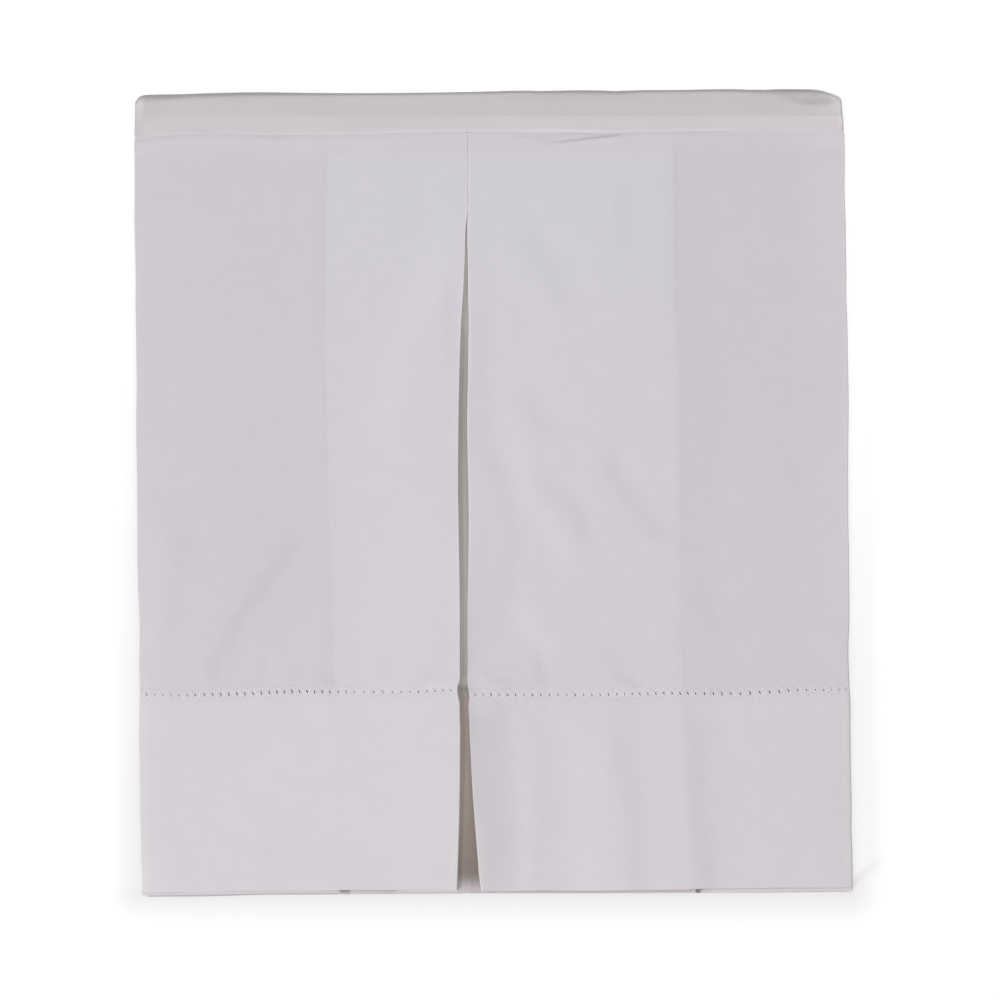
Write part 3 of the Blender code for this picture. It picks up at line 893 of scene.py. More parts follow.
def inside_shade(x, y, ply):
    """Painted shade and light on the plies below the face, as a tone."""
    within = np.array([p in ("underlay", "return", "lip") for p in ply])
    start, end = lip("left", y), lip("right", y)
    share = np.clip((x - start) / np.maximum(end - start, 1.0), -0.5, 1.5)
    # painted shade inside the pleat, lighter towards its left fold edge
    tone = straight(INSIDE, y) + 0.15 * (0.5 - share) * ease((y + 198) / 40)
    # light that the left fold edge throws back under itself
    tone = tone + 0.30 * np.exp(-np.maximum(x - start, 0) / 1.3) * (1 - ease((-200 - y) / 1.0))
    # painted light along a crease down the middle, with painted shade just right of it, at the hem only
    low = ease((-193.0 - y) / 3.0)
    tone = tone + low * 0.12 * np.exp(-(((x + 12.6) / 0.8) ** 2))
    tone = tone - low * 0.05 * np.exp(-(((x + 11.2) / 0.7) ** 2))
    # the lowest plies hang back in shade in two places
    under = 1 - ease((y + 198.0) / 1.0)
    thin = 1 - ease((-200.9 - y) / 0.7)
    left = 0.06 * ease((x + 77.0) / 1.0) * ease((-48.4 - x) / 1.0)
    left = left + 0.14 * ease((x + 51.6) / 0.6) * ease((-48.6 - x) / 0.6)
    dark = 0.85 * thin * ease((x + 76.9) / 0.6) * ease((-72.1 - x) / 0.6)
    right = 0.72 * ease((x - 101.1) / 0.5) * ease((104.0 - x) / 0.5)
    tail = 0.12 * thin * ease((x - 103.0) / 0.6) * ease((109.0 - x) / 5.0)
    wings = -(left + dark + right + tail) * under
    tone = np.where(within, tone, wings)
    # and painted shade makes all dark right under the hemstitch's holes
    away = ease((np.abs(x + 13.0) - 6.5) / 1.5)
    return tone - 0.42 * away * np.exp(-(((y + 100.2) / 2.0) ** 2))


def underlay_z(x, y):
    """The bottom of the pleat, with the slanting fold that shows in its upper part."""
    z = UNDERLAY + 0.05 * ripple(x, np.broadcast_to(y, np.shape(x)), 40, 31)
    z = z + 0.35 * np.exp(-(((x + 13.9) / 1.5) ** 2)) * ease((-190.5 - y) / 5.0)
    off, along = off_line(x, y + 0 * x, ((-22.0, 91.0), (-16.0, 84.5), (-8.0, 76.0)))
    z = z + 0.45 * ease(along / 0.1) * ease((1 - along) / 0.1) * np.where(
        off < 0, np.exp(-((off / 9.0) ** 2)), 1 - ease(off / 1.2)
    )
    return z


def panel_rows():
    """Rows of the sheet from its raw top edge to the hem's turned-in raw edge. Each is
    (zone, share, depth, shift): where on the outer surface it lies, how far under it,
    and how far it is moved towards the hem."""
    rows = []
    for back in (SEAM_ALLOWANCE, 6.0, 2.5):
        rows.append(("top", back, 0.38, 0.0))
    for i in range(1, 5):
        angle = math.pi * (1 - i / 5)
        rows.append(("top", 0.36, 0.19 * (1 - math.cos(angle)), -0.19 * math.sin(angle)))
    for back in (0.36, 0.6, 0.95, 1.4, 1.9, 2.4, 2.9, 3.4, 3.9, 4.4, 4.9, 5.5, 6.2, 7.2, 8.4, 9.4, 10.2, 11.2, 12.8):
        rows.append(("top", back, 0.0, 0.0))
    for share in [*np.linspace(0.057, 0.982, 67), 0.9885, 0.9945, 1.0]:
        rows.append(("up", share, 0.0, 0.0))
    rows.append(("stitch", 0.0, 0.0, 0.0))
    rows.append(("down", 0.0, 0.0, 0.0))
    for share in (0.015, 0.03, 0.045, 0.06, 0.08, 0.10):
        rows.append(("down", share, 0.0, 0.0))
    for share in np.linspace(0.13, 0.965, 25):
        rows.append(("down", share, 0.0, 0.0))
    for share in (0.985, 1.0):
        rows.append(("down", share, 0.0, 0.0))
    for i in range(1, 6):
        angle = math.pi * i / 5
        rows.append(
            ("down", 1.0, HEM_TURN * (1 - math.cos(angle)), HEM_TURN * math.sin(angle))
        )
    for share in (0.97, 0.9, 0.8, 0.68, 0.56, 0.44, 0.32, 0.21, 0.12):
        rows.append(("down", share, 2 * HEM_TURN, 0.0))
    for share, depth in ((0.085, 0.62), (0.06, 0.8), (0.02, 0.8)):
        rows.append(("down", share, depth, 0.0))
    for depth, shift in ((0.74, -0.8), (0.60, -1.0), (0.46, -0.8)):
        rows.append(("down", 0.0, depth, shift))
    for share in (0.02, 0.05, 0.082):
        rows.append(("down", share, 0.40, 0.0))
    return rows


def unit(v):
    return v / np.maximum(np.linalg.norm(v, axis=-1, keepdims=True), 1e-9)


def grid_normals(p):
    du = np.gradient(p, axis=1)
    dv = np.gradient(p, axis=0)
    return unit(np.cross(dv, du))


def panel_grid():
    """Points of the sheet, their columns' plies, and what its cloth needs to know at
    each: place on the flat cloth, and distances from hem, seam, pleat and fold edges."""
    rows = panel_rows()
    nominal = []
    for zone, share, _, _ in rows:
        if zone == "top":
            nominal.append(181.6 - share)
        elif zone == "up":
            nominal.append(181.6 + (STITCH_NOMINAL + STITCH_HALF - 181.6) * share)
        elif zone == "stitch":
            nominal.append(STITCH_NOMINAL)
        else:
            start, end = STITCH_NOMINAL - STITCH_HALF, -199.2 + HEM_TURN
            nominal.append(start + (end - start) * share)
    base, ply, on_face = [], None, None
    ahead = []
    for (zone, share, _, _), y0 in zip(rows, nominal):
        x, _, ply, on_face = panel_row(y0)
        hidden_top = np.array(
            [WING_TOP if p.startswith("wing") else PLEAT_TOP for p in ply], float
        )
        top = on_face * (seam_y(x) - GAP / 2) + (1 - on_face) * hidden_top
        stitches = on_face * stitch_y(x) + (1 - on_face) * HIDDEN_STITCHES
        ends = {
            name: hem_y(x, name)
            for name in ("face", "return", "underlay", "wing_left", "wing_right")
        }
        own = np.choose(
            [
                ("lip", "face", "return", "underlay", "wing_left", "wing_right").index(p)
                for p in ply
            ],
            [
                ends["return"],
                ends["face"],
                ends["return"],
                ends["underlay"],
                ends["wing_left"],
                ends["wing_right"],
            ],
        )
        foot = on_face * ends["face"] + (1 - on_face) * own + HEM_TURN
        if zone == "top":
            y = top - share
        elif zone == "up":
            y = top + (stitches + STITCH_HALF - top) * share
        elif zone == "stitch":
            y = stitches
        else:
            start = stitches - STITCH_HALF
            y = start + (foot - start) * share
        ahead.append((x, y, top, stitches))
        base.append(y0)
    # the outer surface is asked again at the true y, for its level
    outer = []
    for (x, y, _, _), y0 in zip(ahead, nominal):
        _, z, _, _ = panel_row(y0)
        shift = np.where(on_face > 0.99, face_z(x, y) - face_z(x, y0 + 0 * x), 0.0)
        outer.append(np.stack([x, y, z + shift], axis=-1))
    outer = np.array(outer)
    # a surface with evenly rising rows gives the normals, so each row looks at y +- 1
    up = []
    for row, ((x, y, _, _), y0) in enumerate(zip(ahead, nominal)):
        x2, z2, _, _ = panel_row(y0 + 0.5)
        x1, z1, _, _ = panel_row(y0 - 0.5)
        along_y = np.stack([x2 - x1, np.ones_like(x), z2 - z1], axis=-1)
        along_u = np.gradient(outer[row], axis=0)
        up.append(unit(np.cross(along_u, along_y)))
    up = np.array(up)
    points = outer.copy()
    for i, (_, _, depth, shift) in enumerate(rows):
        points[i] = outer[i] - up[i] * depth
        points[i, :, 1] -= shift
    # flat cloth coordinates
    middle = outer[len(rows) // 3]
    u = np.concatenate([[0], np.cumsum(np.linalg.norm(np.diff(middle, axis=0), axis=1))])
    column = points.shape[1] // 3
    v = np.concatenate(
        [[0], np.cumsum(np.linalg.norm(np.diff(points[:, column], axis=0), axis=1))]
    )
    flat = np.stack(np.meshgrid(u, v), axis=-1)
    top = np.array([a[2] for a in ahead])
    stitches = np.array([a[3] for a in ahead])
    x, y = outer[..., 0], outer[..., 1]
    face = np.broadcast_to(on_face, x.shape)
    left = np.minimum(x - side("return_left", y), side("return_right", y) - x)
    facts = {
        "pleat": np.where(face > 0.5, left, -40.0),
        "hem": stitches - y,
        "seam": top - y,
        "lip": np.where(
            face > 0.02,
            np.minimum(np.abs(x - lip("left", y)), np.abs(x - lip("right", y))),
            40.0,
        ),
        "edge": np.minimum(np.abs(x - side("left", y)), np.abs(x - side("right", y))),
        "inside": np.broadcast_to(
            np.array(
                [
                    1.0 if p in ("underlay", "return") else -1.0 if p.startswith("wing") else 0.0
                    for p in ply
                ]
            )
            * (1 - on_face),
            x.shape,
        ),
        "below": hem_y(x, "face") - y,
        "shade": shade_of(x, y) * face + inside_shade(x, y, ply) * (1 - face),
    }
    return points, ply, on_face, flat, facts, rows


def shade_of(x, y):
    """Painted light and shade on the face, in parts of the cloth's own tone."""
    _, tone = creases(x, y)
    # painted shade along the tuck that the seam catches
    off, along = off_line(x, y, TUCK)
    fade = ease(along / 0.25) * ease((1 - along) / 0.2)
    tone = tone - 0.085 * fade * np.exp(-(((off + 0.35) / 0.5) ** 2))
    # a faint shade just under the seam
    below = seam_y(x) - y
    tone = tone - 0.010 * np.exp(-(((below - 1.7) / 0.9) ** 2))
    # painted light in the groove below the seam, and painted light and shade on the cloth a little further down
    tone = tone + straight(SEAM_LIGHT, x, 2) * np.exp(-(((below - 0.9) / 0.9) ** 2))
    tone = tone + straight(SEAM_LIGHT, x, 3) * ease((below - 1.2) / 1.5) * (1 - ease((below - 7) / 3))
    # low down, painted shade along the right rim; higher up, a little painted light back on the rim itself, which
    # turns away from the window
    rim = side("right", y) - x
    upper = ease((y + 90) / 60)
    tone = tone - 0.045 * (1 - upper) * np.exp(-((rim / 3.2) ** 2))
    return tone + 0.13 * upper * np.exp(-((rim / 0.9) ** 2))


# ---- making meshes --------------------------------------------------------------------------------
def mesh_object(name, points, faces, facts=None, flat=None, thickness=0.0):
    mesh = bpy.data.meshes.new(name)
    mesh.from_pydata((np.asarray(points) * MM).tolist(), [], faces)
    mesh.update()
    if flat is not None:
        layer = mesh.attributes.new("flat", "FLOAT_VECTOR", "POINT")
        values = np.zeros((len(points), 3), np.float32)
        values[:, :2] = np.asarray(flat) * MM
        layer.data.foreach_set("vector", values.ravel())
    for key, value in (facts or {}).items():
        layer = mesh.attributes.new(key, "FLOAT", "POINT")
        layer.data.foreach_set("value", np.asarray(value, np.float32).ravel())
    mesh.shade_smooth()
    thing = bpy.data.objects.new(name, mesh)
    bpy.context.scene.collection.objects.link(thing)
    if thickness:
        shell = thing.modifiers.new("Solidify", "SOLIDIFY")
        shell.thickness = thickness * MM
        shell.offset = 0.0
        shell.use_rim = True
        shell.use_even_offset = False
    return thing


def hole_outline(count=16, wide=0.40, tall=1.14, lean=0.28):
    """A slanted oval, from its top round to the right."""
    angle = np.linspace(0, 2 * math.pi, count, endpoint=False)
    x, y = wide * np.sin(angle), tall * np.cos(angle)
    return x - lean * y, y


def make_panel(cloth):
    points, ply, on_face, flat, facts, rows = panel_grid()
    n_rows, n_cols = points.shape[:2]
    mid = next(i for i, r in enumerate(rows) if r[0] == "stitch")
    row_y = STITCH_NOMINAL
    grid = np.arange(n_rows * n_cols).reshape(n_rows, n_cols)
    all_points = [points.reshape(-1, 3)]
    all_flat = [flat.reshape(-1, 2)]
    all_facts = {k: [np.asarray(v, float).reshape(-1)] for k, v in facts.items()}
    taken = np.zeros((n_rows - 1, n_cols - 1), bool)
    extra, used = [], n_rows * n_cols
    x_mid = points[mid, :, 0]
    holes = []
    for x_hole in [*LEFT_HOLES, *RIGHT_HOLES]:
        near = np.where(on_face > 0.99, np.abs(x_mid - x_hole), 1e9)
        j = int(np.argmin(near))
        holes.append((j, float(x_mid[j]), float(points[mid, j, 1])))
    ox, oy = hole_outline()
    rng = np.random.default_rng(5)
    for j, hx, hy in holes:
        taken[mid - 1 : mid + 1, j - 1 : j + 1] = True
        outer = [
            grid[mid - 1, j],
            grid[mid - 1, j + 1],
            grid[mid, j + 1],
            grid[mid + 1, j + 1],
            grid[mid + 1, j],
            grid[mid + 1, j - 1],
            grid[mid, j - 1],
            grid[mid - 1, j - 1],
        ]
        size = rng.uniform(0.88, 1.12) * straight(OPEN, hx)
        px, py = hx + ox * size * rng.uniform(0.85, 1.15), hy + oy * size
        z = face_z(px, py)
        ring = np.arange(used, used + len(px))
        used += len(px)
        all_points.append(np.stack([px, py, z], axis=-1))
        centre = flat[mid, j]
        all_flat.append(np.stack([centre[0] + ox * size, centre[1] - oy * size], axis=-1))
        for key, value in facts.items():
            at = float(value[mid, j])
            if key == "hem":
                all_facts[key].append(at - oy * size)
            elif key == "seam":
                all_facts[key].append(at - oy * size)
            else:
                all_facts[key].append(np.full(len(px), at))
        for k in range(8):
            a, b = outer[k], outer[(k + 1) % 8]
            i0, i1, i2 = ring[2 * k], ring[2 * k + 1], ring[(2 * k + 2) % 16]
            extra += [(a, i1, i0), (a, b, i1), (b, i2, i1)]
    quads = []
    for i in range(n_rows - 1):
        for j in range(n_cols - 1):
            if not taken[i, j]:
                quads.append((grid[i, j], grid[i, j + 1], grid[i + 1, j + 1], grid[i + 1, j]))
    faces = [tuple(int(k) for k in reversed(f)) for f in quads] + [
        tuple(int(k) for k in f) for f in extra
    ]
    p = np.concatenate(all_points)
    fl = np.concatenate(all_flat)
    fa = {k: np.concatenate(v) for k, v in all_facts.items()}
    # points that no face uses are dropped
    keep = np.zeros(len(p), bool)
    for f in faces:
        keep[list(f)] = True
    new = np.cumsum(keep) - 1
    faces = [tuple(int(new[k]) for k in f) for f in faces]
    thing = mesh_object(
        "drop_panel_cloth",
        p[keep],
        faces,
        {k: v[keep] for k, v in fa.items()},
        fl[keep],
        PANEL_CLOTH,
    )
    fix = bmesh.new()
    fix.from_mesh(thing.data)
    bmesh.ops.recalc_face_normals(fix, faces=fix.faces)
    fix.to_mesh(thing.data)
    fix.free()
    even = thing.modifiers.new("Normals", "WEIGHTED_NORMAL")
    even.mode, even.weight, even.keep_sharp = "FACE_AREA", 50, False
    thing.data.materials.append(cloth)
    return thing, holes


def tube(path, radius, sides=6, closed=False):
    """A thread along a path, as points and faces."""
    path = np.asarray(path, float)
    count = len(path)
    ahead = np.roll(path, -1, axis=0) - np.roll(path, 1, axis=0)
    if not closed:
        ahead[0], ahead[-1] = path[1] - path[0], path[-1] - path[-2]
    ahead = unit(ahead)
    across = unit(np.cross(ahead, np.array([0.0, 0.0, 1.0])))
    up = np.cross(across, ahead)
    angle = np.linspace(0, 2 * math.pi, sides, endpoint=False)
    radius = np.broadcast_to(radius, (count,))[:, None, None]  # one, or one at each place
    ring = (
        path[:, None]
        + radius * np.cos(angle)[None, :, None] * across[:, None]
        + radius * np.sin(angle)[None, :, None] * up[:, None]
    )
    points = ring.reshape(-1, 3)
    faces = []
    for i in range(count if closed else count - 1):
        a, b = i * sides, ((i + 1) % count) * sides
        for k in range(sides):
            n = (k + 1) % sides
            faces.append((a + k, a + n, b + n, b + k))
    if not closed:
        faces.append(tuple(range(sides))[::-1])
        faces.append(tuple(range((count - 1) * sides, count * sides)))
    return points, faces


def join(name, pieces, material):
    points, faces, used = [], [], 0
    for p, f in pieces:
        points.append(p)
        faces += [tuple(k + used for k in face) for face in f]
        used += len(p)
    thing = mesh_object(name, np.concatenate(points), faces)
    fix = bmesh.new()
    fix.from_mesh(thing.data)
    bmesh.ops.recalc_face_normals(fix, faces=fix.faces)
    fix.to_mesh(thing.data)
    fix.free()
    thing.data.materials.append(material)
    return thing


def make_hemstitch(holes, thread):
    """Thread round each hole, a line of small loops above and short stitches below."""
    rng = np.random.default_rng(8)
    pieces = []
    lay = HALF + 0.05
    xs = np.array([h[1] for h in holes])
    for number, (_, hx, hy) in enumerate(holes):
        size = rng.uniform(0.94, 1.06) * (0.35 + 0.65 * straight(OPEN, hx))
        ox, oy = hole_outline(18, 0.64, 1.26, 0.26)
        px, py = hx + ox * size, hy + oy * size
        round_ = np.linspace(0, 2 * math.pi, 18, endpoint=False)
        bulge = 0.03 * np.sin(round_ * 3 + rng.uniform(0, 6))
        z = face_z(px, py) + lay + bulge
        # fuller where the thread lies over itself, below and to the left
        full = 0.12 + 0.08 * np.maximum(np.cos(round_ - 3.9), 0) + 0.06 * np.maximum(np.cos(round_ - 1.0), 0)
        pieces.append(tube(np.stack([px, py, z], axis=-1), full, 6, True))
    for places in (LEFT_HOLES, RIGHT_HOLES):
        edges = np.concatenate(
            [
                [places[0] - 2.0],
                (places[1:] + places[:-1]) / 2,
                [places[-1] + 2.0],
            ]
        )
        for a, b in zip(edges, edges[1:]):
            t = np.linspace(0, 1, 7)
            x = a + (b - a) * t
            lift = rng.uniform(0.35, 0.6)
            y = stitch_y(x) + STITCH_HALF - 0.25 + lift * np.sin(math.pi * t)
            z = face_z(x, y) + lay - 0.02
            pieces.append(tube(np.stack([x, y, z], axis=-1), 0.11, 5))
            # a bar from the upper line down between two holes
            t = np.linspace(0, 1, 5)
            x = a + 0.12 + 0.25 * (t - 0.5)
            y = stitch_y(x) + STITCH_HALF - 0.25 - (2 * STITCH_HALF - 0.35) * t
            z = face_z(x, y) + lay - 0.08 + 0.06 * np.sin(math.pi * t)
            pieces.append(tube(np.stack([x, y, z], axis=-1), 0.09, 5))
            # a short stitch of the lower line
            t = np.linspace(0, 1, 5)
            start, end = a + 0.35, b - rng.uniform(0.9, 1.5)
            x = start + (end - start) * t
            y = stitch_y(x) - STITCH_HALF - 0.05 - 0.1 * np.sin(math.pi * t)
            z = face_z(x, y) + lay - 0.10 * (2 * t - 1) ** 4
            pieces.append(tube(np.stack([x, y, z], axis=-1), 0.10, 5))
    return join("hemstitch_thread", pieces, thread)


def make_pleat_stitches(thread):
    """The stitches that hold the pleat's fold edges together, and the bar at their end."""
    pieces = []
    rng = np.random.default_rng(14)
    y = 181.4
    while y > SHUT_TO + 3:
        length = rng.uniform(1.7, 2.1)
        t = np.linspace(0, 1, 5)
        py = y - length * t
        middle = (lip("left", py) + lip("right", py)) / 2 + 0.84
        z = face_z(middle, py) + HALF - 0.09 + 0.05 * np.sin(math.pi * t)
        pieces.append(tube(np.stack([middle, py, z], axis=-1), 0.12, 6))
        y -= length + rng.uniform(0.02, 0.10)
    # a knot where the stitches meet the seam
    t = np.linspace(0, 1, 9)
    px = -13.0 + 0.9 * np.cos(math.pi * (1.15 - 1.3 * t))
    py = 181.0 + 0.55 * np.sin(math.pi * (1.15 - 1.3 * t)) * -1
    z = face_z(px, np.full_like(px, 179.0)) + HALF + 0.12
    pieces.append(tube(np.stack([px, py, z], axis=-1), 0.13, 6))
    # bar tack: thread to and fro across the fold edges
    steps = 18
    t = np.arange(steps) / (steps - 1)
    py = 148.6 - 3.6 * t
    middle = (lip("left", py) + lip("right", py)) / 2
    px = middle + 0.42 * np.where(np.arange(steps) % 2, 1, -1) + 0.25
    z = face_z(px, py) + HALF + 0.05
    pieces.append(tube(np.stack([px, py, z], axis=-1), 0.10, 5))
    return join("pleat_stitches", pieces, thread)


# ---- the deck --------------------------------------------------------------------------------------
FACET = ((-180.6, 180.5), (-178.2, 187.0), (-176.4, 192.5), (-175.9, 197.0), (-176.2, 201.5))
DART = (
    (139.5, 201.6),
    (144.0, 199.4),
    (149.0, 197.2),
    (154.0, 195.8),
    (160.0, 195.2),
    (166.0, 195.6),
    (171.5, 196.6),
)


def band_relief(x, y):
    """Height of the plain band between the seam and the rolled top end, and its painted light and shade."""
    z = 0.08 * ripple(x, y * 2.0, 60, 41) + 0.035 * ripple(x, y * 2, 22, 42)
    tone = 0.0 * z
    # it meets the sunk sides of the face
    above = y - seam_y(x)
    z = z - SINK * beside(x, seam_y(x)) * (1 - ease((above - 1.0) / 12.0))
    # the allowance under the band, next to the seam
    z = z + 0.14 * (1 - ease((y - 189.2) / 1.3))
    # a ridge along the seam, and the edge that turns down into it, with painted light along the ridge
    ridge = 0.26 + 0.05 * ripple(x, 0 * x, 34, 43)
    ridge = ridge * (1 - 0.45 * ease((x - 128) / 18))
    z = z + ridge * np.exp(-(((above - 0.35) / 1.15) ** 2))
    line = 0.055 * (1 - 0.6 * ease((x - 128) / 18)) + 0.015 * ripple(x, 0 * x, 9, 47)
    line = line + 0.020 * ease((x - 8) / 6) * ease((64 - x) / 12) + straight(SEAM_LIGHT, x)
    tone = tone + line * np.exp(-(((above - 0.7) / 0.8) ** 2))
    # painted light on the ridge's far side, which turns from the window
    tone = tone + 0.035 * np.exp(-(((above - 1.9) / 0.8) ** 2))
    # left corner: a facet falls away to the left of a crease, with a hollow on its right; painted light on the facet
    # and painted shade in the hollows
    off, _ = off_line(x, y, FACET)
    z = z - 0.42 * np.maximum(-off, 0) * ease(-off / 0.8) - 0.10 * np.exp(-((off / 1.2) ** 2))
    tone = tone + 0.085 * ease((-off + 0.3) / 0.9) * ease((y - 187) / 6)
    tone = tone - 0.035 * np.exp(-(((off - 1.4) / 1.2) ** 2))
    z = z - 0.35 * np.exp(-(((x + 167.5) / 6.5) ** 2) - (((y - 196.0) / 4.2) ** 2))
    tone = tone - 0.045 * np.exp(-(((x + 165.5) / 5.0) ** 2) - (((y - 198.6) / 1.5) ** 2))
    tone = tone - 0.014 * np.exp(-(((x + 168.5) / 5.0) ** 2) - (((y - 193.5) / 4.0) ** 2))
    tone = tone + 0.038 * np.exp(-(((x + 172) / 9.0) ** 2) - (((y - 183.6) / 2.6) ** 2))
    # small hollow that the seam draws in, with painted shade in it
    z = z - 0.22 * np.exp(-(((x + 147.5) / 6.0) ** 2) - (((y - 183.0) / 0.8) ** 2))
    tone = tone - 0.030 * np.exp(-(((x + 147.5) / 5.5) ** 2) - (((y - 182.9) / 0.7) ** 2))
    # right corner: the cloth is tucked down behind a curved edge, with painted shade inside it and painted light along
    # the edge
    off, along = off_line(x, y, DART)
    within = ease(along / 0.10) * ease((1 - along) / 0.10)
    z = z - 0.50 * ease(-off / 2.2) * within
    inner = ease((-off + 0.4) / 1.2) * within
    lighter = np.exp(-(((x - 153.5) / 4.0) ** 2))
    tone = tone - (0.105 - 0.045 * lighter) * inner
    tone = tone - 0.05 * np.exp(-(((off + 0.6) / 0.8) ** 2)) * ease((along - 0.35) / 0.2) * within
    z = z + 0.26 * np.exp(-(((off - 0.6) / 0.9) ** 2)) * ease(along / 0.12) * ease((0.6 - along) / 0.25)
    tone = tone + 0.030 * np.exp(-(((off - 0.7) / 0.8) ** 2)) * ease(along / 0.12) * ease((0.55 - along) / 0.2)
    tone = tone + 0.09 * np.exp(-(((x - 161.0) / 0.6) ** 2) - (((y - 198.7) / 0.9) ** 2))
    # and the corner itself falls off to the right, with painted light on it
    z = z - 0.30 * ease((x - 168.0) / 6.0) * ease((y - 186.0) / 12.0)
    tone = tone + 0.045 * ease((x - 167.5) / 3.0) * ease((y - 194.0) / 3.0)
    tone = tone + (0.04 + 0.11 * ease((x - 164.0) / 10.0)) * ease((x - 158.0) / 8.0) * ease((off - 0.5) / 1.0 + 1 - within) * ease((y - 185.5) / 6.0)
    # a little more shade along parts of the rolled end
    tone = tone - 0.048 * np.exp(-(((x - 36) / 42) ** 2) - (((y - 199.6) / 2.2) ** 2))
    tone = tone - 0.028 * np.exp(-(((x + 120) / 34) ** 2) - (((y - 198.8) / 2.0) ** 2))
    # light on the rolled end, more at its right
    crest = smooth(ROLL, x)
    lit = 0.03 + 0.17 * ease((x - 152.0) / 18.0) + 0.12 * ease((x - 163.0) / 5.0)
    tone = tone + lit * ease((y - crest + 2.4 + 1.5 * ease((x - 160.0) / 5.0)) / 1.6)
    tone = tone + 0.12 * ease((x - 172.6) / 1.8) * ease((y - 183.0) / 3.0)
    return z, tone


def inset(layer, z, which):
    """How far the deck's side stays inside the panel's outline."""
    below = np.interp(layer, [r[0] for r in LAYERS], [r[which] for r in LAYERS])
    return below + (0.15 - below) * ((layer == 0) & (z > 6.0)) * ease((z - 6.0) / 8.0)


def deck_section(x):
    """Middle of the folded deck at x, as arrays y, z and layer, the layer rising through its
    fractions round each fold."""
    tip, drop, reach = (float(smooth(ROLL, x, c)) for c in (1, 2, 3))
    tip = tip - DECK_PLY - DECK_CLOTH / 2
    reach = max(reach - 0.6, 0.9)
    under = 4.2
    back = float(smooth(DECK_BACK, x))
    edge = float(seam_y(x)) + GAP / 2
    top = DECK_TOP - drop
    bulge = DECK_FIRST + 0.60 * (top - DECK_FIRST)
    ys, zs, layers = [], [], []

    def add(y, z, layer):
        y = np.atleast_1d(y)
        ys.append(y)
        zs.append(np.broadcast_to(z, y.shape).astype(float))
        layers.append(np.broadcast_to(layer, y.shape).astype(float))

    centre = tip - reach
    steps = np.array([0, 0.15, 0.35, 0.6, 0.9, 1.25, 1.6, 2.0, 2.5, 3.1, 3.9, 4.8, 5.8, 6.9, 7.7, 8.3, 9.0, 10.0, 11.2, 12.5, 13.8, 15.1, 16.4, 17.6])
    band = edge + steps * (centre - edge) / 18.4
    add(band, top + 0 * band + drop * (1 - ease((band - edge) / 12.0)), 0)
    angle = np.linspace(0, math.pi / 2, 12)
    c, s = np.cos(angle), np.sin(angle)
    p = 2.3
    add(centre + reach * s ** (2 / p), bulge + (top - bulge) * c ** (2 / p), 0)
    angle = np.linspace(math.pi / 2, math.pi, 10)[1:]
    c, s = np.cos(angle), np.sin(angle)
    p = 2.2
    add(
        tip - under + under * np.maximum(s, 0) ** (2 / p),
        bulge - (bulge - DECK_FIRST) * np.abs(c) ** (2 / p),
        0,
    )
    here, level, came = tip - under, DECK_FIRST, DECK_FIRST
    for layer, (end, crest, lower, upper) in enumerate(DECK_FOLDS):
        radius = (upper - lower) / 2
        start = crest - CENTRE_Y - end * radius
        start = start + (tip - 200.6) * 0.7 if end > 0 else start + back
        run = here + (start - here) * np.arange(1, 29) / 29
        if end > 0:  # the layers part towards the fuller loops at the top end
            z = level + (lower - level) * ease((run - (start - 26)) / 26)
        else:
            z = level + (came - level) * (1 - ease((here - run) / 26))
        add(run, z, layer)
        bend = np.linspace(-math.pi / 2, math.pi / 2, 9)
        add(
            start + end * radius * np.cos(bend),
            (lower + upper) / 2 + radius * np.sin(bend),
            layer + (bend / math.pi + 0.5),
        )
        came = upper
        level += DECK_PITCH
        here = start
    run = here + (DECK_END - CENTRE_Y - here) * np.arange(1, 29) / 28
    add(run, level + (came - level) * (1 - ease((here - run) / 26)), len(DECK_FOLDS))
    return np.concatenate(ys), np.concatenate(zs), np.concatenate(layers)


def deck_columns():
    """Across the flat deck: (share of the width, ply) on its three plies, with the fold
    between two plies as (side, angle)."""
    corner = [0.0, 0.0015, 0.0035, 0.006, 0.009, 0.0125, 0.017, 0.022, 0.028, 0.035, 0.044, 0.055, 0.07]
    middle = list(np.linspace(0.088, 0.912, 40))
    fine = corner + middle + [1 - c for c in reversed(corner)]
    columns = [("flat", s, 1.0) for s in reversed(fine)]
    columns += [("fold", -1, a) for a in np.linspace(math.pi / 2, -math.pi / 2, 7)[1:-1]]
    columns += [("flat", s, 0.0) for s in [0, 0.004, 0.01, 0.02, 0.035, 0.06, *np.linspace(0.1, 0.9, 17), 0.94, 0.965, 0.98, 0.99, 0.996, 1]]
    columns += [("fold", 1, a) for a in np.linspace(math.pi / 2, -math.pi / 2, 7)[1:-1]]
    columns += [("flat", s, -1.0) for s in [1, 0.996, 0.99, 0.98, 0.965, 0.94, *np.linspace(0.9, 0.24, 15)]]
    return columns


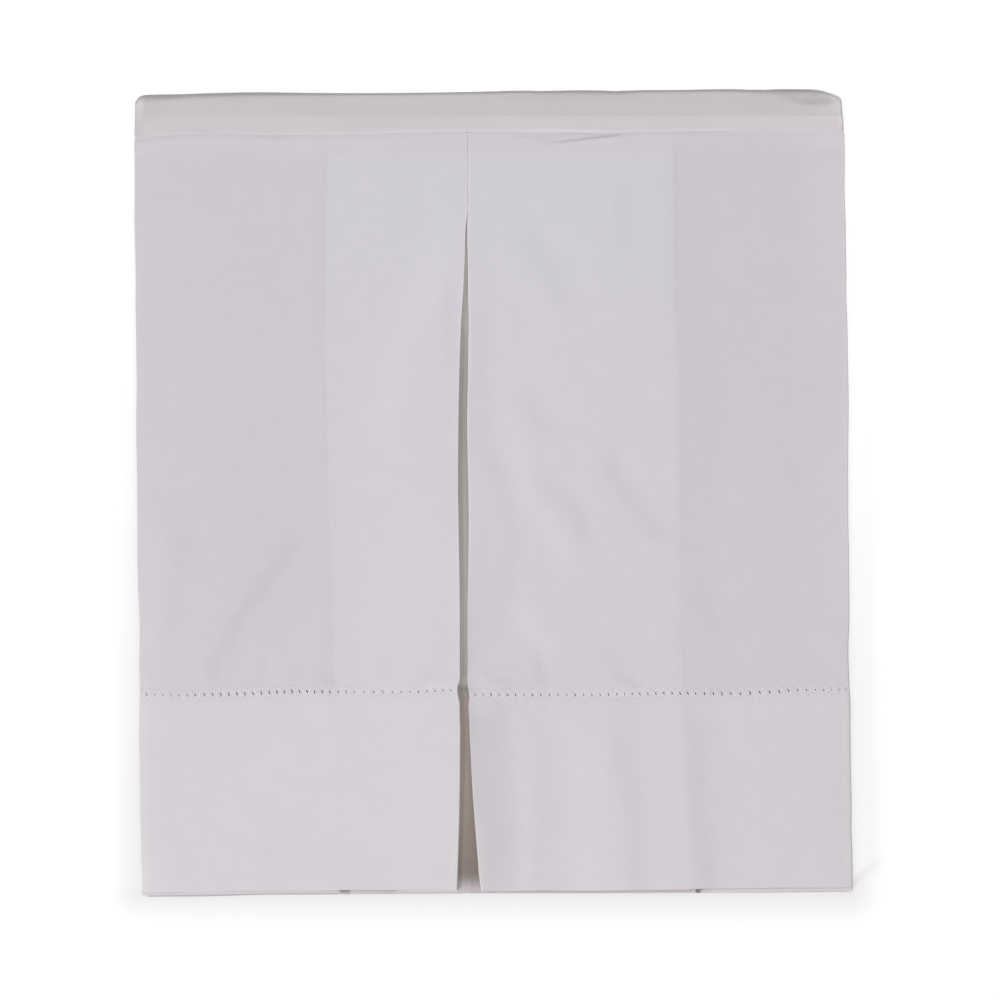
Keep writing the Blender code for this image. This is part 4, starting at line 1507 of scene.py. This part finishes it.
def make_deck(cloth):
    columns = deck_columns()
    radius = DECK_PLY / 2
    half = DECK_CLOTH / 2
    grid, shades = [], []
    for kind, a, b in columns:
        share = a if kind == "flat" else (0.0 if a < 0 else 1.0)
        guess = -180.25 + (175.75 + 180.25) * share
        y, z, layer = deck_section(guess)
        low = side("left", y) + inset(layer, z, 1) + half + radius
        high = side("right", y) - inset(layer, z, 2) - half - radius
        high = high - 0.5 * ease((y - 185.0) / 11.0) * (layer == 0)
        if kind == "flat":
            w = DECK_PLY * b
        else:
            w = DECK_PLY * (0.5 if a < 0 else -0.5) + radius * math.sin(b)
        uneven = 0.30 * ripple(y, layer * 37.0, 70, 51) * (np.clip(layer, 0, 1) + 0.2)
        low = low + np.abs(uneven) * (1 + 0.5 * w)
        high = high - np.abs(uneven) * (1 - 0.5 * w)
        # direction across the section, outwards at the nose
        dy, dz = np.gradient(y), np.gradient(z)
        length = np.hypot(dy, dz)
        ny, nz = -dz / length, dy / length
        if kind == "flat":
            x = low + (high - low) * share
        else:
            x = (low if a < 0 else high) + a * radius * math.cos(b)
        # the stack is fuller along its sides
        lift = (0.10 * ripple(x, y, 120, 53) + 0.32 * layer * beside(x, y)) * np.clip(layer, 0, 1)
        lift = lift * (1 - ease((y - 150) / 30))
        # the top ply's edge laps a little over the top of the face
        edge = float(seam_y(guess))
        over = 0.62 * max(w / DECK_PLY, 0.0) * np.exp(-np.maximum(y - edge, 0) / 0.7)
        over = over * ((layer == 0) & (z > 12.0))
        points = np.stack([x, y + ny * w - over, z + nz * w + lift], axis=-1)
        # the band and the upper part of the rolled end carry the relief
        weight = np.where(layer == 0, ease((z - (DECK_TOP - 7.0)) / 5.0), 0.0)
        height, tone = band_relief(x, y + ny * w - over)
        points[:, 2] += weight * height
        grid.append(points)
        # painted light on the right side's fold and on the right part of the rolled end's curve, which turn from the
        # window
        if kind == "fold" and a > 0:
            tone = tone + 0.80 * math.cos(b)
        turned = ease((z - 6.0) / 2.5) * (1 - ease((z - (DECK_TOP - 3.0)) / 2.0)) * (layer == 0)
        shades.append(tone * weight + 0.65 * ease((x - 152.0) / 20.0) * turned * (y > 180))
    grid = np.array(grid).transpose(1, 0, 2)
    shades = np.array(shades).T
    n_rows, n_cols = grid.shape[:2]
    index = np.arange(n_rows * n_cols).reshape(n_rows, n_cols)
    faces = [
        (int(index[i, j]), int(index[i + 1, j]), int(index[i + 1, j + 1]), int(index[i, j + 1]))
        for i in range(n_rows - 1)
        for j in range(n_cols - 1)
    ]
    middle = grid[5]
    u = np.concatenate([[0], np.cumsum(np.linalg.norm(np.diff(middle, axis=0), axis=1))])
    v = np.concatenate([[0], np.cumsum(np.linalg.norm(np.diff(grid[:, 30], axis=0), axis=1))])
    flat = np.stack(np.meshgrid(u, v), axis=-1).reshape(-1, 2)
    y, z = grid[..., 1], grid[..., 2]
    on_band = (z > 12) & (y > 170)
    above = np.where(on_band, y - seam_y(grid[..., 0]), 60.0)
    facts = {"band": np.where(on_band, y, 300.0) * MM, "above": above, "shade": shades}
    thing = mesh_object(
        "platform_cloth",
        grid.reshape(-1, 3),
        faces,
        {k: v.reshape(-1) for k, v in facts.items()},
        flat,
        DECK_CLOTH,
    )
    thing.data.materials.append(cloth)
    return thing


# ---- materials ----------------------------------------------------------------------------------------
class Nodes:
    """Short names for the few kinds of shader node used here."""

    def __init__(self, name):
        self.material = bpy.data.materials.new(name)
        self.material.use_nodes = True
        self.tree = self.material.node_tree
        self.shader = self.tree.nodes["Principled BSDF"]

    def new(self, kind, **settings):
        node = self.tree.nodes.new(kind)
        for key, value in settings.items():
            setattr(node, key, value)
        return node

    def link(self, source, target):
        self.tree.links.new(source, target)

    def put(self, socket, value):
        if isinstance(value, (int, float)):
            socket.default_value = value
        elif isinstance(value, tuple):
            socket.default_value = value
        else:
            self.link(value, socket)

    def maths(self, operation, a, b=0.0, c=None):
        node = self.new("ShaderNodeMath", operation=operation)
        self.put(node.inputs[0], a)
        self.put(node.inputs[1], b)
        if c is not None:
            self.put(node.inputs[2], c)
        return node.outputs[0]

    def fact(self, name):
        node = self.new("ShaderNodeAttribute", attribute_name=name)
        node.attribute_type = "GEOMETRY"
        return node.outputs["Fac"]

    def vector(self, name):
        node = self.new("ShaderNodeAttribute", attribute_name=name)
        node.attribute_type = "GEOMETRY"
        return node.outputs["Vector"]

    def step(self, value, low, high, a=0.0, b=1.0):
        node = self.new("ShaderNodeMapRange", interpolation_type="SMOOTHSTEP")
        self.put(node.inputs["Value"], value)
        node.inputs["From Min"].default_value = low
        node.inputs["From Max"].default_value = high
        node.inputs["To Min"].default_value = a
        node.inputs["To Max"].default_value = b
        return node.outputs[0]

    def scaled(self, vector, scale):
        node = self.new("ShaderNodeVectorMath", operation="MULTIPLY")
        self.link(vector, node.inputs[0])
        node.inputs[1].default_value = scale
        return node.outputs[0]

    def noise(self, vector, scale, detail=2.0, roughness=0.5, stretch=None):
        if stretch:
            vector = self.scaled(vector, stretch)
        node = self.new("ShaderNodeTexNoise")
        self.link(vector, node.inputs["Vector"])
        node.inputs["Scale"].default_value = scale
        node.inputs["Detail"].default_value = detail
        node.inputs["Roughness"].default_value = roughness
        return node.outputs["Fac"]

    def total(self, *terms):
        result = terms[0]
        for term in terms[1:]:
            result = self.maths("ADD", result, term)
        return result

    def tinted(self, colour, tone):
        """A colour times a tone."""
        node = self.new("ShaderNodeVectorMath", operation="SCALE")
        self.put(node.inputs[0], colour)
        self.put(node.inputs["Scale"], tone)
        return node.outputs[0]


def weave(n, cloth, yarn, strength):
    """Bump and tone of a fine plain weave with uneven yarns. cloth is the place on the
    flat cloth in metres and yarn the yarns' spacing."""
    wander = n.noise(cloth, 900, 1.0)
    push = n.maths("MULTIPLY", n.maths("SUBTRACT", wander, 0.5), 0.00012)
    split = n.new("ShaderNodeSeparateXYZ")
    n.link(cloth, split.inputs[0])
    u = n.maths("ADD", split.outputs["X"], push)
    v = n.maths("ADD", split.outputs["Y"], push)
    rate = math.pi / yarn
    wu = n.maths("SINE", n.maths("MULTIPLY", u, rate))
    wv = n.maths("SINE", n.maths("MULTIPLY", v, rate))
    over = n.maths("MULTIPLY", wu, wv)
    ribs = n.total(n.maths("ABSOLUTE", wu), n.maths("ABSOLUTE", wv))
    height = n.total(n.maths("MULTIPLY", over, 0.5), n.maths("MULTIPLY", ribs, 0.25))
    # thick and thin yarns along both ways, and the soft nap between them
    slub_v = n.noise(cloth, 1.0, 3.0, 0.6, (70.0, 2600.0, 1.0))
    slub_u = n.noise(cloth, 1.0, 3.0, 0.6, (2600.0, 55.0, 1.0))
    nap = n.noise(cloth, 2300, 3.0, 0.7)
    slubs = n.total(n.maths("MULTIPLY", slub_v, 1.1), slub_u)
    whole = n.total(
        n.maths("MULTIPLY", height, 0.35),
        n.maths("MULTIPLY", slubs, 1.6),
        n.maths("MULTIPLY", nap, 0.8),
    )
    bump = n.new("ShaderNodeBump")
    bump.inputs["Strength"].default_value = strength
    bump.inputs["Distance"].default_value = 0.00006
    n.link(whole, bump.inputs["Height"])
    n.link(bump.outputs[0], n.shader.inputs["Normal"])
    centred = n.maths("SUBTRACT", slubs, 1.05)
    return centred, n.maths("SUBTRACT", nap, 0.5)


def flecks(n, cloth):
    """A few short thick yarns, each a small light or dark fleck."""
    a = n.noise(cloth, 1.0, 1.0, 0.5, (420.0, 1500.0, 1.0))
    b = n.noise(cloth, 1.0, 0.0, 0.5, (140.0, 160.0, 1.0))
    spots = n.maths("MULTIPLY", n.step(a, 0.70, 0.80), n.step(b, 0.55, 0.66))
    c = n.noise(cloth, 1.0, 1.0, 0.5, (1500.0, 480.0, 1.0))
    marks = n.maths("MULTIPLY", n.step(c, 0.70, 0.80), n.step(b, 0.40, 0.30))
    return spots, marks


def skirt_material():
    n = Nodes("percale")
    cloth = n.vector("flat")
    slubs, nap = weave(n, cloth, 0.00027, 0.35)
    spots, marks = flecks(n, cloth)
    place = n.new("ShaderNodeTexCoord").outputs["Object"]
    mottle = n.noise(place, 26.0, 3.0, 0.55)
    broad = n.noise(place, 7.0, 1.0, 0.5)
    pleat, hem, seam = n.fact("pleat"), n.fact("hem"), n.fact("seam")
    lip_, edge, inside = n.fact("lip"), n.fact("edge"), n.fact("inside")
    cloud = n.noise(place, 120.0, 2.0, 0.5)
    in_hem_ = n.step(hem, -0.2, 0.6)
    # painted shade: a dark line on the lower plies, where the face's own hem lies on them
    split = n.new("ShaderNodeSeparateXYZ")
    n.link(place, split.inputs[0])
    wings = n.step(inside, -0.75, -0.25, 1.0, 0.0)
    line = n.maths("MULTIPLY", n.step(n.fact("below"), 0.1, 1.0, 1.0, 0.0), n.step(split.outputs["X"], 0.06, 0.11, 0.10, 0.20))
    under = n.maths("MULTIPLY", wings, line)
    doubled = n.step(pleat, -0.5, 0.6)
    clear = n.step(seam, SEAM_ALLOWANCE - 1.5, SEAM_ALLOWANCE + 2.5, 0.15, 1.0)
    # painted light over the pleat, where the cloth is doubled
    doubled_light = n.total(n.maths("MULTIPLY", doubled, 0.024), n.step(pleat, 0.0, 9.0, 0.0, 0.014))
    # within a few millimetres of the pleat's fold edges, above the hem, and of the outer edges, the cloth is drawn
    # lighter and more neutral in colour
    near_lip = n.maths("MULTIPLY", n.step(lip_, 3.0, 4.6, 1.0, 0.0), n.step(hem, 50.0, 75.0))
    near_edge = n.maths("MULTIPLY", n.step(edge, 3.2, 4.8, 1.0, 0.0), n.step(hem, -60.0, 40.0, 0.4, 1.0))
    by_edges = n.maths("MAXIMUM", near_lip, near_edge)
    # the tone adds painted light on the doubled hem and over the seam allowance, and a painted highlight along the
    # pleat's fold edges
    tone = n.total(
        1.0,
        n.fact("shade"),
        n.maths("MULTIPLY", n.maths("MULTIPLY", doubled_light, n.step(hem, -0.2, 0.6, 1.0, 0.15)), clear),
        n.maths("MULTIPLY", in_hem_, 0.042),
        n.step(seam, SEAM_ALLOWANCE - 1.0, SEAM_ALLOWANCE + 1.0, 0.010, 0.0),
        n.step(lip_, 0.2, 1.2, 0.045, 0.0),
        n.maths("MULTIPLY", by_edges, 0.012),
        n.maths("MULTIPLY", slubs, 0.035),
        n.maths("MULTIPLY", nap, 0.03),
        n.maths("MULTIPLY", n.maths("SUBTRACT", mottle, 0.5), 0.03),
        n.maths("MULTIPLY", n.maths("SUBTRACT", cloud, 0.5), 0.05),
        n.maths("MULTIPLY", n.maths("SUBTRACT", broad, 0.5), 0.015),
        n.maths("MULTIPLY", spots, 0.05),
        n.maths("MULTIPLY", marks, -0.05),
        n.maths("MULTIPLY", under, -1.0),
    )

    def mixed(amount, a, b):
        node = n.new("ShaderNodeMix", data_type="RGBA")
        n.put(node.inputs["Factor"], amount)
        for socket, colour in (("A", a), ("B", b)):
            if isinstance(colour, tuple):
                node.inputs[socket].default_value = (*colour, 1.0)
            else:
                n.link(colour, node.inputs[socket])
        return node.outputs["Result"]

    # painted light through the doubled cloth: over the pleat the cloth beneath makes the colour cooler, most of all
    # high up
    cool = n.maths("MULTIPLY", doubled, n.step(hem, -230.0, -10.0, 1.0, 0.15))
    cool = n.maths("MULTIPLY", cool, clear)
    base = mixed(n.maths("MULTIPLY", cool, n.step(hem, -0.2, 0.6, 1.0, 0.0)), SKIRT_COLOUR, DOUBLED_COLOUR)
    base = mixed(in_hem_, base, HEM_COLOUR)
    base = mixed(n.maths("MULTIPLY", by_edges, 0.8), base, NEUTRAL_COLOUR)
    # painted shade inside the pleat, warm, and warmer still behind the hem
    within = mixed(n.step(hem, -1.0, 5.0), INSIDE_SHADE_COLOUR, INSIDE_LOW_SHADE_COLOUR)
    within = mixed(n.step(hem, 92.0, 98.0), within, INSIDE_END_SHADE_COLOUR)
    base = mixed(n.step(inside, 0.25, 0.75), base, within)
    n.link(n.tinted(base, tone), n.shader.inputs["Base Color"])
    rough = n.maths("ADD", 0.80, n.maths("MULTIPLY", nap, 0.25))
    n.link(rough, n.shader.inputs["Roughness"])
    n.shader.inputs["Specular IOR Level"].default_value = 0.25
    n.shader.inputs["Sheen Weight"].default_value = 0.06
    n.shader.inputs["Sheen Roughness"].default_value = 0.5
    return n.material


def deck_material():
    n = Nodes("deck_cotton")
    cloth = n.vector("flat")
    slubs, nap = weave(n, cloth, 0.00034, 0.45)
    spots, marks = flecks(n, cloth)
    place = n.new("ShaderNodeTexCoord").outputs["Object"]
    mottle = n.noise(place, 34.0, 3.0, 0.6)
    split = n.new("ShaderNodeSeparateXYZ")
    n.link(place, split.inputs[0])
    place_x = split.outputs["X"]
    band = n.fact("band")
    # painted light on the band over its seam allowance, a little darker at its left and lighter right of the middle
    tone = n.total(
        1.0,
        n.fact("shade"),
        n.step(band, 0.1890, 0.1905, 0.050, 0.0),
        n.maths("MULTIPLY", n.step(band, 0.1890, 0.1905, 1.0, 0.0), n.step(place_x, -0.15, -0.08, -0.022, -0.002)),
        n.maths("MULTIPLY", n.step(band, 0.1890, 0.1905, 1.0, 0.0), n.step(place_x, -0.03, 0.02, 0.0, 0.042)),
        n.maths("MULTIPLY", n.step(band, 0.1890, 0.1905, 1.0, 0.0), n.step(place_x, 0.135, 0.16, 0.0, 0.012)),
        n.maths("MULTIPLY", slubs, 0.05),
        n.maths("MULTIPLY", nap, 0.05),
        n.maths("MULTIPLY", n.maths("SUBTRACT", mottle, 0.5), 0.05),
        n.maths("MULTIPLY", spots, 0.05),
        n.maths("MULTIPLY", marks, -0.06),
    )
    # next to the seam the skirt's own cloth shows through
    base = n.new("ShaderNodeMix", data_type="RGBA")
    n.link(n.step(n.fact("above"), 0.8, 4.2, 1.0, 0.0), base.inputs["Factor"])
    base.inputs["A"].default_value = (*DECK_COLOUR, 1.0)
    base.inputs["B"].default_value = (*DECK_SEAM_COLOUR, 1.0)
    n.link(n.tinted(base.outputs["Result"], tone), n.shader.inputs["Base Color"])
    rough = n.maths("ADD", 0.86, n.maths("MULTIPLY", nap, 0.25))
    n.link(rough, n.shader.inputs["Roughness"])
    n.shader.inputs["Specular IOR Level"].default_value = 0.2
    n.shader.inputs["Sheen Weight"].default_value = 0.08
    n.shader.inputs["Sheen Roughness"].default_value = 0.6
    return n.material


def thread_material():
    n = Nodes("sewing_thread")
    place = n.new("ShaderNodeTexCoord").outputs["Object"]
    ply = n.new("ShaderNodeTexWave", wave_type="BANDS", bands_direction="DIAGONAL")
    n.link(place, ply.inputs["Vector"])
    ply.inputs["Scale"].default_value = 1600.0
    ply.inputs["Distortion"].default_value = 2.0
    ply.inputs["Detail"].default_value = 1.0
    fuzz = n.noise(place, 5000, 2.0)
    tone = n.total(
        0.94,
        n.maths("MULTIPLY", ply.outputs["Fac"], 0.08),
        n.maths("MULTIPLY", fuzz, 0.06),
    )
    n.link(n.tinted(THREAD_COLOUR, tone), n.shader.inputs["Base Color"])
    bump = n.new("ShaderNodeBump")
    bump.inputs["Strength"].default_value = 0.4
    bump.inputs["Distance"].default_value = 0.00003
    n.link(ply.outputs["Fac"], bump.inputs["Height"])
    n.link(bump.outputs[0], n.shader.inputs["Normal"])
    n.shader.inputs["Roughness"].default_value = 0.7
    n.shader.inputs["Specular IOR Level"].default_value = 0.3
    return n.material


SKIRT_COLOUR = (0.378, 0.3555, 0.379)
DOUBLED_COLOUR = (0.375, 0.3640, 0.383)
HEM_COLOUR = (0.378, 0.3585, 0.375)
NEUTRAL_COLOUR = (0.379, 0.3660, 0.372)
# dark, warm colours of the painted shade inside the pleat
INSIDE_SHADE_COLOUR = (0.268, 0.253, 0.234)
INSIDE_LOW_SHADE_COLOUR = (0.282, 0.238, 0.205)
INSIDE_END_SHADE_COLOUR = (0.275, 0.250, 0.252)
DECK_COLOUR = (0.356, 0.336, 0.340)
DECK_SEAM_COLOUR = (0.356, 0.335, 0.351)
THREAD_COLOUR = (0.53, 0.515, 0.53)


def floor_material():
    """A pale, faintly uneven floor, with a painted shadow round the cloth's lower edge and sides and painted light
    behind the roll and on the right.
    """
    n = Nodes("pale_floor")
    place = n.new("ShaderNodeTexCoord").outputs["Object"]
    split = n.new("ShaderNodeSeparateXYZ")
    n.link(place, split.inputs[0])
    x, y = split.outputs["X"], split.outputs["Y"]
    # distance outside the bundle's outline
    out_x = n.maths("MAXIMUM", n.maths("SUBTRACT", n.maths("ABSOLUTE", x), 0.1785), 0.0)
    down = n.maths("MAXIMUM", n.maths("SUBTRACT", n.maths("MULTIPLY", y, -1.0), 0.2005), 0.0)
    away = n.maths("SQRT", n.maths("ADD", n.maths("MULTIPLY", out_x, out_x), n.maths("MULTIPLY", down, down)))
    # the painted shadow is less on the right, where the bundle's own shadow falls, above a slant line
    past = n.maths("MULTIPLY", n.maths("MAXIMUM", n.maths("SUBTRACT", x, 0.1805), 0.0), 0.8)
    slant = n.maths("SUBTRACT", n.maths("SUBTRACT", y, past), n.step(x, 0.170, 0.182, 0.0, 0.006))
    below = n.step(slant, -0.2045, -0.1965, 1.0, 0.0)
    where = n.maths("MAXIMUM", n.step(x, 0.170, 0.182, 1.0, 0.3), below)
    # painted shadow beside the cloth, deeper towards its lower end
    low = n.maths("MULTIPLY", n.step(y, -0.20, 0.18, 0.135, 0.0), where)
    near = n.step(away, 0.0, 0.023, 1.0, 0.0)
    # painted shadow just below the hem
    under = n.maths("MULTIPLY", below, n.step(x, -0.182, -0.165, 0.034, 0.060))
    under = n.maths("MULTIPLY", under, n.step(away, 0.0, 0.034, 1.0, 0.0))
    left = n.maths("MULTIPLY", n.step(x, -0.182, -0.176, 0.030, 0.0), n.step(y, 0.05, 0.20, 1.0, 0.3))
    amount = n.maths("ADD", n.maths("MULTIPLY", near, n.total(low, left)), under)
    # painted light behind the roll and along the right side, taking back the shadow that the lamps cast there
    top = n.maths("MULTIPLY", n.step(y, 0.196, 0.2005, 0.0, 1.0), n.step(y, 0.2015, 0.216, 0.13, 0.055))
    right = n.maths("MULTIPLY", n.step(x, 0.1735, 0.1785, 0.0, 1.0), n.step(x, 0.179, 0.200, 0.10, 0.04))
    right = n.maths("MULTIPLY", right, n.step(y, -0.13, 0.10, 0.0, 1.0))
    amount = n.maths("SUBTRACT", amount, n.maths("MAXIMUM", top, right))
    grain = n.noise(place, 60.0, 3.0, 0.6)
    tone = n.total(1.0, n.maths("MULTIPLY", amount, -1.0), n.maths("MULTIPLY", n.maths("SUBTRACT", grain, 0.5), 0.01))
    n.link(n.tinted((0.20, 0.199, 0.198), tone), n.shader.inputs["Base Color"])
    n.shader.inputs["Roughness"].default_value = 0.9
    n.shader.inputs["Specular IOR Level"].default_value = 0.1
    # painted light: a table that glows faintly of its own, so that it stays pale beside the cloth; the painted shadow
    # and light darken and lighten its glow too
    n.link(n.tinted((1.0, 0.995, 0.99), tone), n.shader.inputs["Emission Color"])
    n.shader.inputs["Emission Strength"].default_value = 0.74
    return n.material


# ---- building -----------------------------------------------------------------------------------------
percale, cotton, thread = skirt_material(), deck_material(), thread_material()

panel, holes = make_panel(percale)
stitches = make_hemstitch(holes, thread)
pleat_stitches = make_pleat_stitches(thread)
deck = make_deck(cotton)

for piece in (panel, stitches, pleat_stitches, deck):
    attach(piece, "root")
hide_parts("drop_panel")
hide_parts("platform")

# ---- floor, light and camera -----------------------------------------------------------------------------
bpy.ops.mesh.primitive_grid_add(x_subdivisions=24, y_subdivisions=24, size=24.0)
floor = bpy.context.object
floor.name = "floor"
floor.location.z = -0.0002
floor.data.materials.append(floor_material())

world = bpy.data.worlds.new("studio")
bpy.context.scene.world = world
world.use_nodes = True
sky = world.node_tree.nodes["Background"]
sky.inputs["Color"].default_value = (0.985, 0.99, 1.0, 1.0)
sky.inputs["Strength"].default_value = 0.33
# a paler band low round the room, like a studio's wall
world_nodes, world_links = world.node_tree.nodes, world.node_tree.links
direction = world_nodes.new("ShaderNodeTexCoord")
height = world_nodes.new("ShaderNodeSeparateXYZ")
wall = world_nodes.new("ShaderNodeMapRange")
wall.inputs["From Min"].default_value, wall.inputs["From Max"].default_value = 0.03, 0.10
wall.inputs["To Min"].default_value, wall.inputs["To Max"].default_value = 0.92, 0.33
world_links.new(direction.outputs["Generated"], height.inputs[0])
world_links.new(height.outputs["Z"], wall.inputs["Value"])
world_links.new(wall.outputs[0], sky.inputs["Strength"])


def soft_light(name, place, size, watts, colour):
    data = bpy.data.lights.new(name, "AREA")
    data.shape, data.size, data.energy, data.color = "DISK", size, watts, colour
    light = bpy.data.objects.new(name, data)
    bpy.context.scene.collection.objects.link(light)
    light.location = place
    light.rotation_euler = (-Vector(place)).to_track_quat("-Z", "Y").to_euler()
    light.visible_camera = False
    return light


soft_light("key", (-2.5, -2.0, 3.0), 1.5, 140.0, (1.0, 0.985, 1.0))
soft_light("fill", (0.0, 0.0, 3.6), 1.3, 105.0, (1.0, 0.995, 1.0))

scene = bpy.context.scene
scene.view_settings.view_transform = "Standard"
scene.view_settings.look = "None"
scene.view_settings.exposure = 0.0
scene.view_settings.gamma = 1.0

DISTANCE, TOP = 4.0, 0.0185
camera_data = bpy.data.cameras.new("camera")
camera_data.sensor_width = 36.0
camera_data.lens = 36.0 * (DISTANCE - TOP) / 0.5026
camera_data.clip_start, camera_data.clip_end = 0.1, 60.0
camera = bpy.data.objects.new("camera", camera_data)
scene.collection.objects.link(camera)
camera.location = (3.07 * MM, -3.38 * MM, DISTANCE)
camera.rotation_euler = (0.0, 0.0, 0.0)
scene.camera = camera
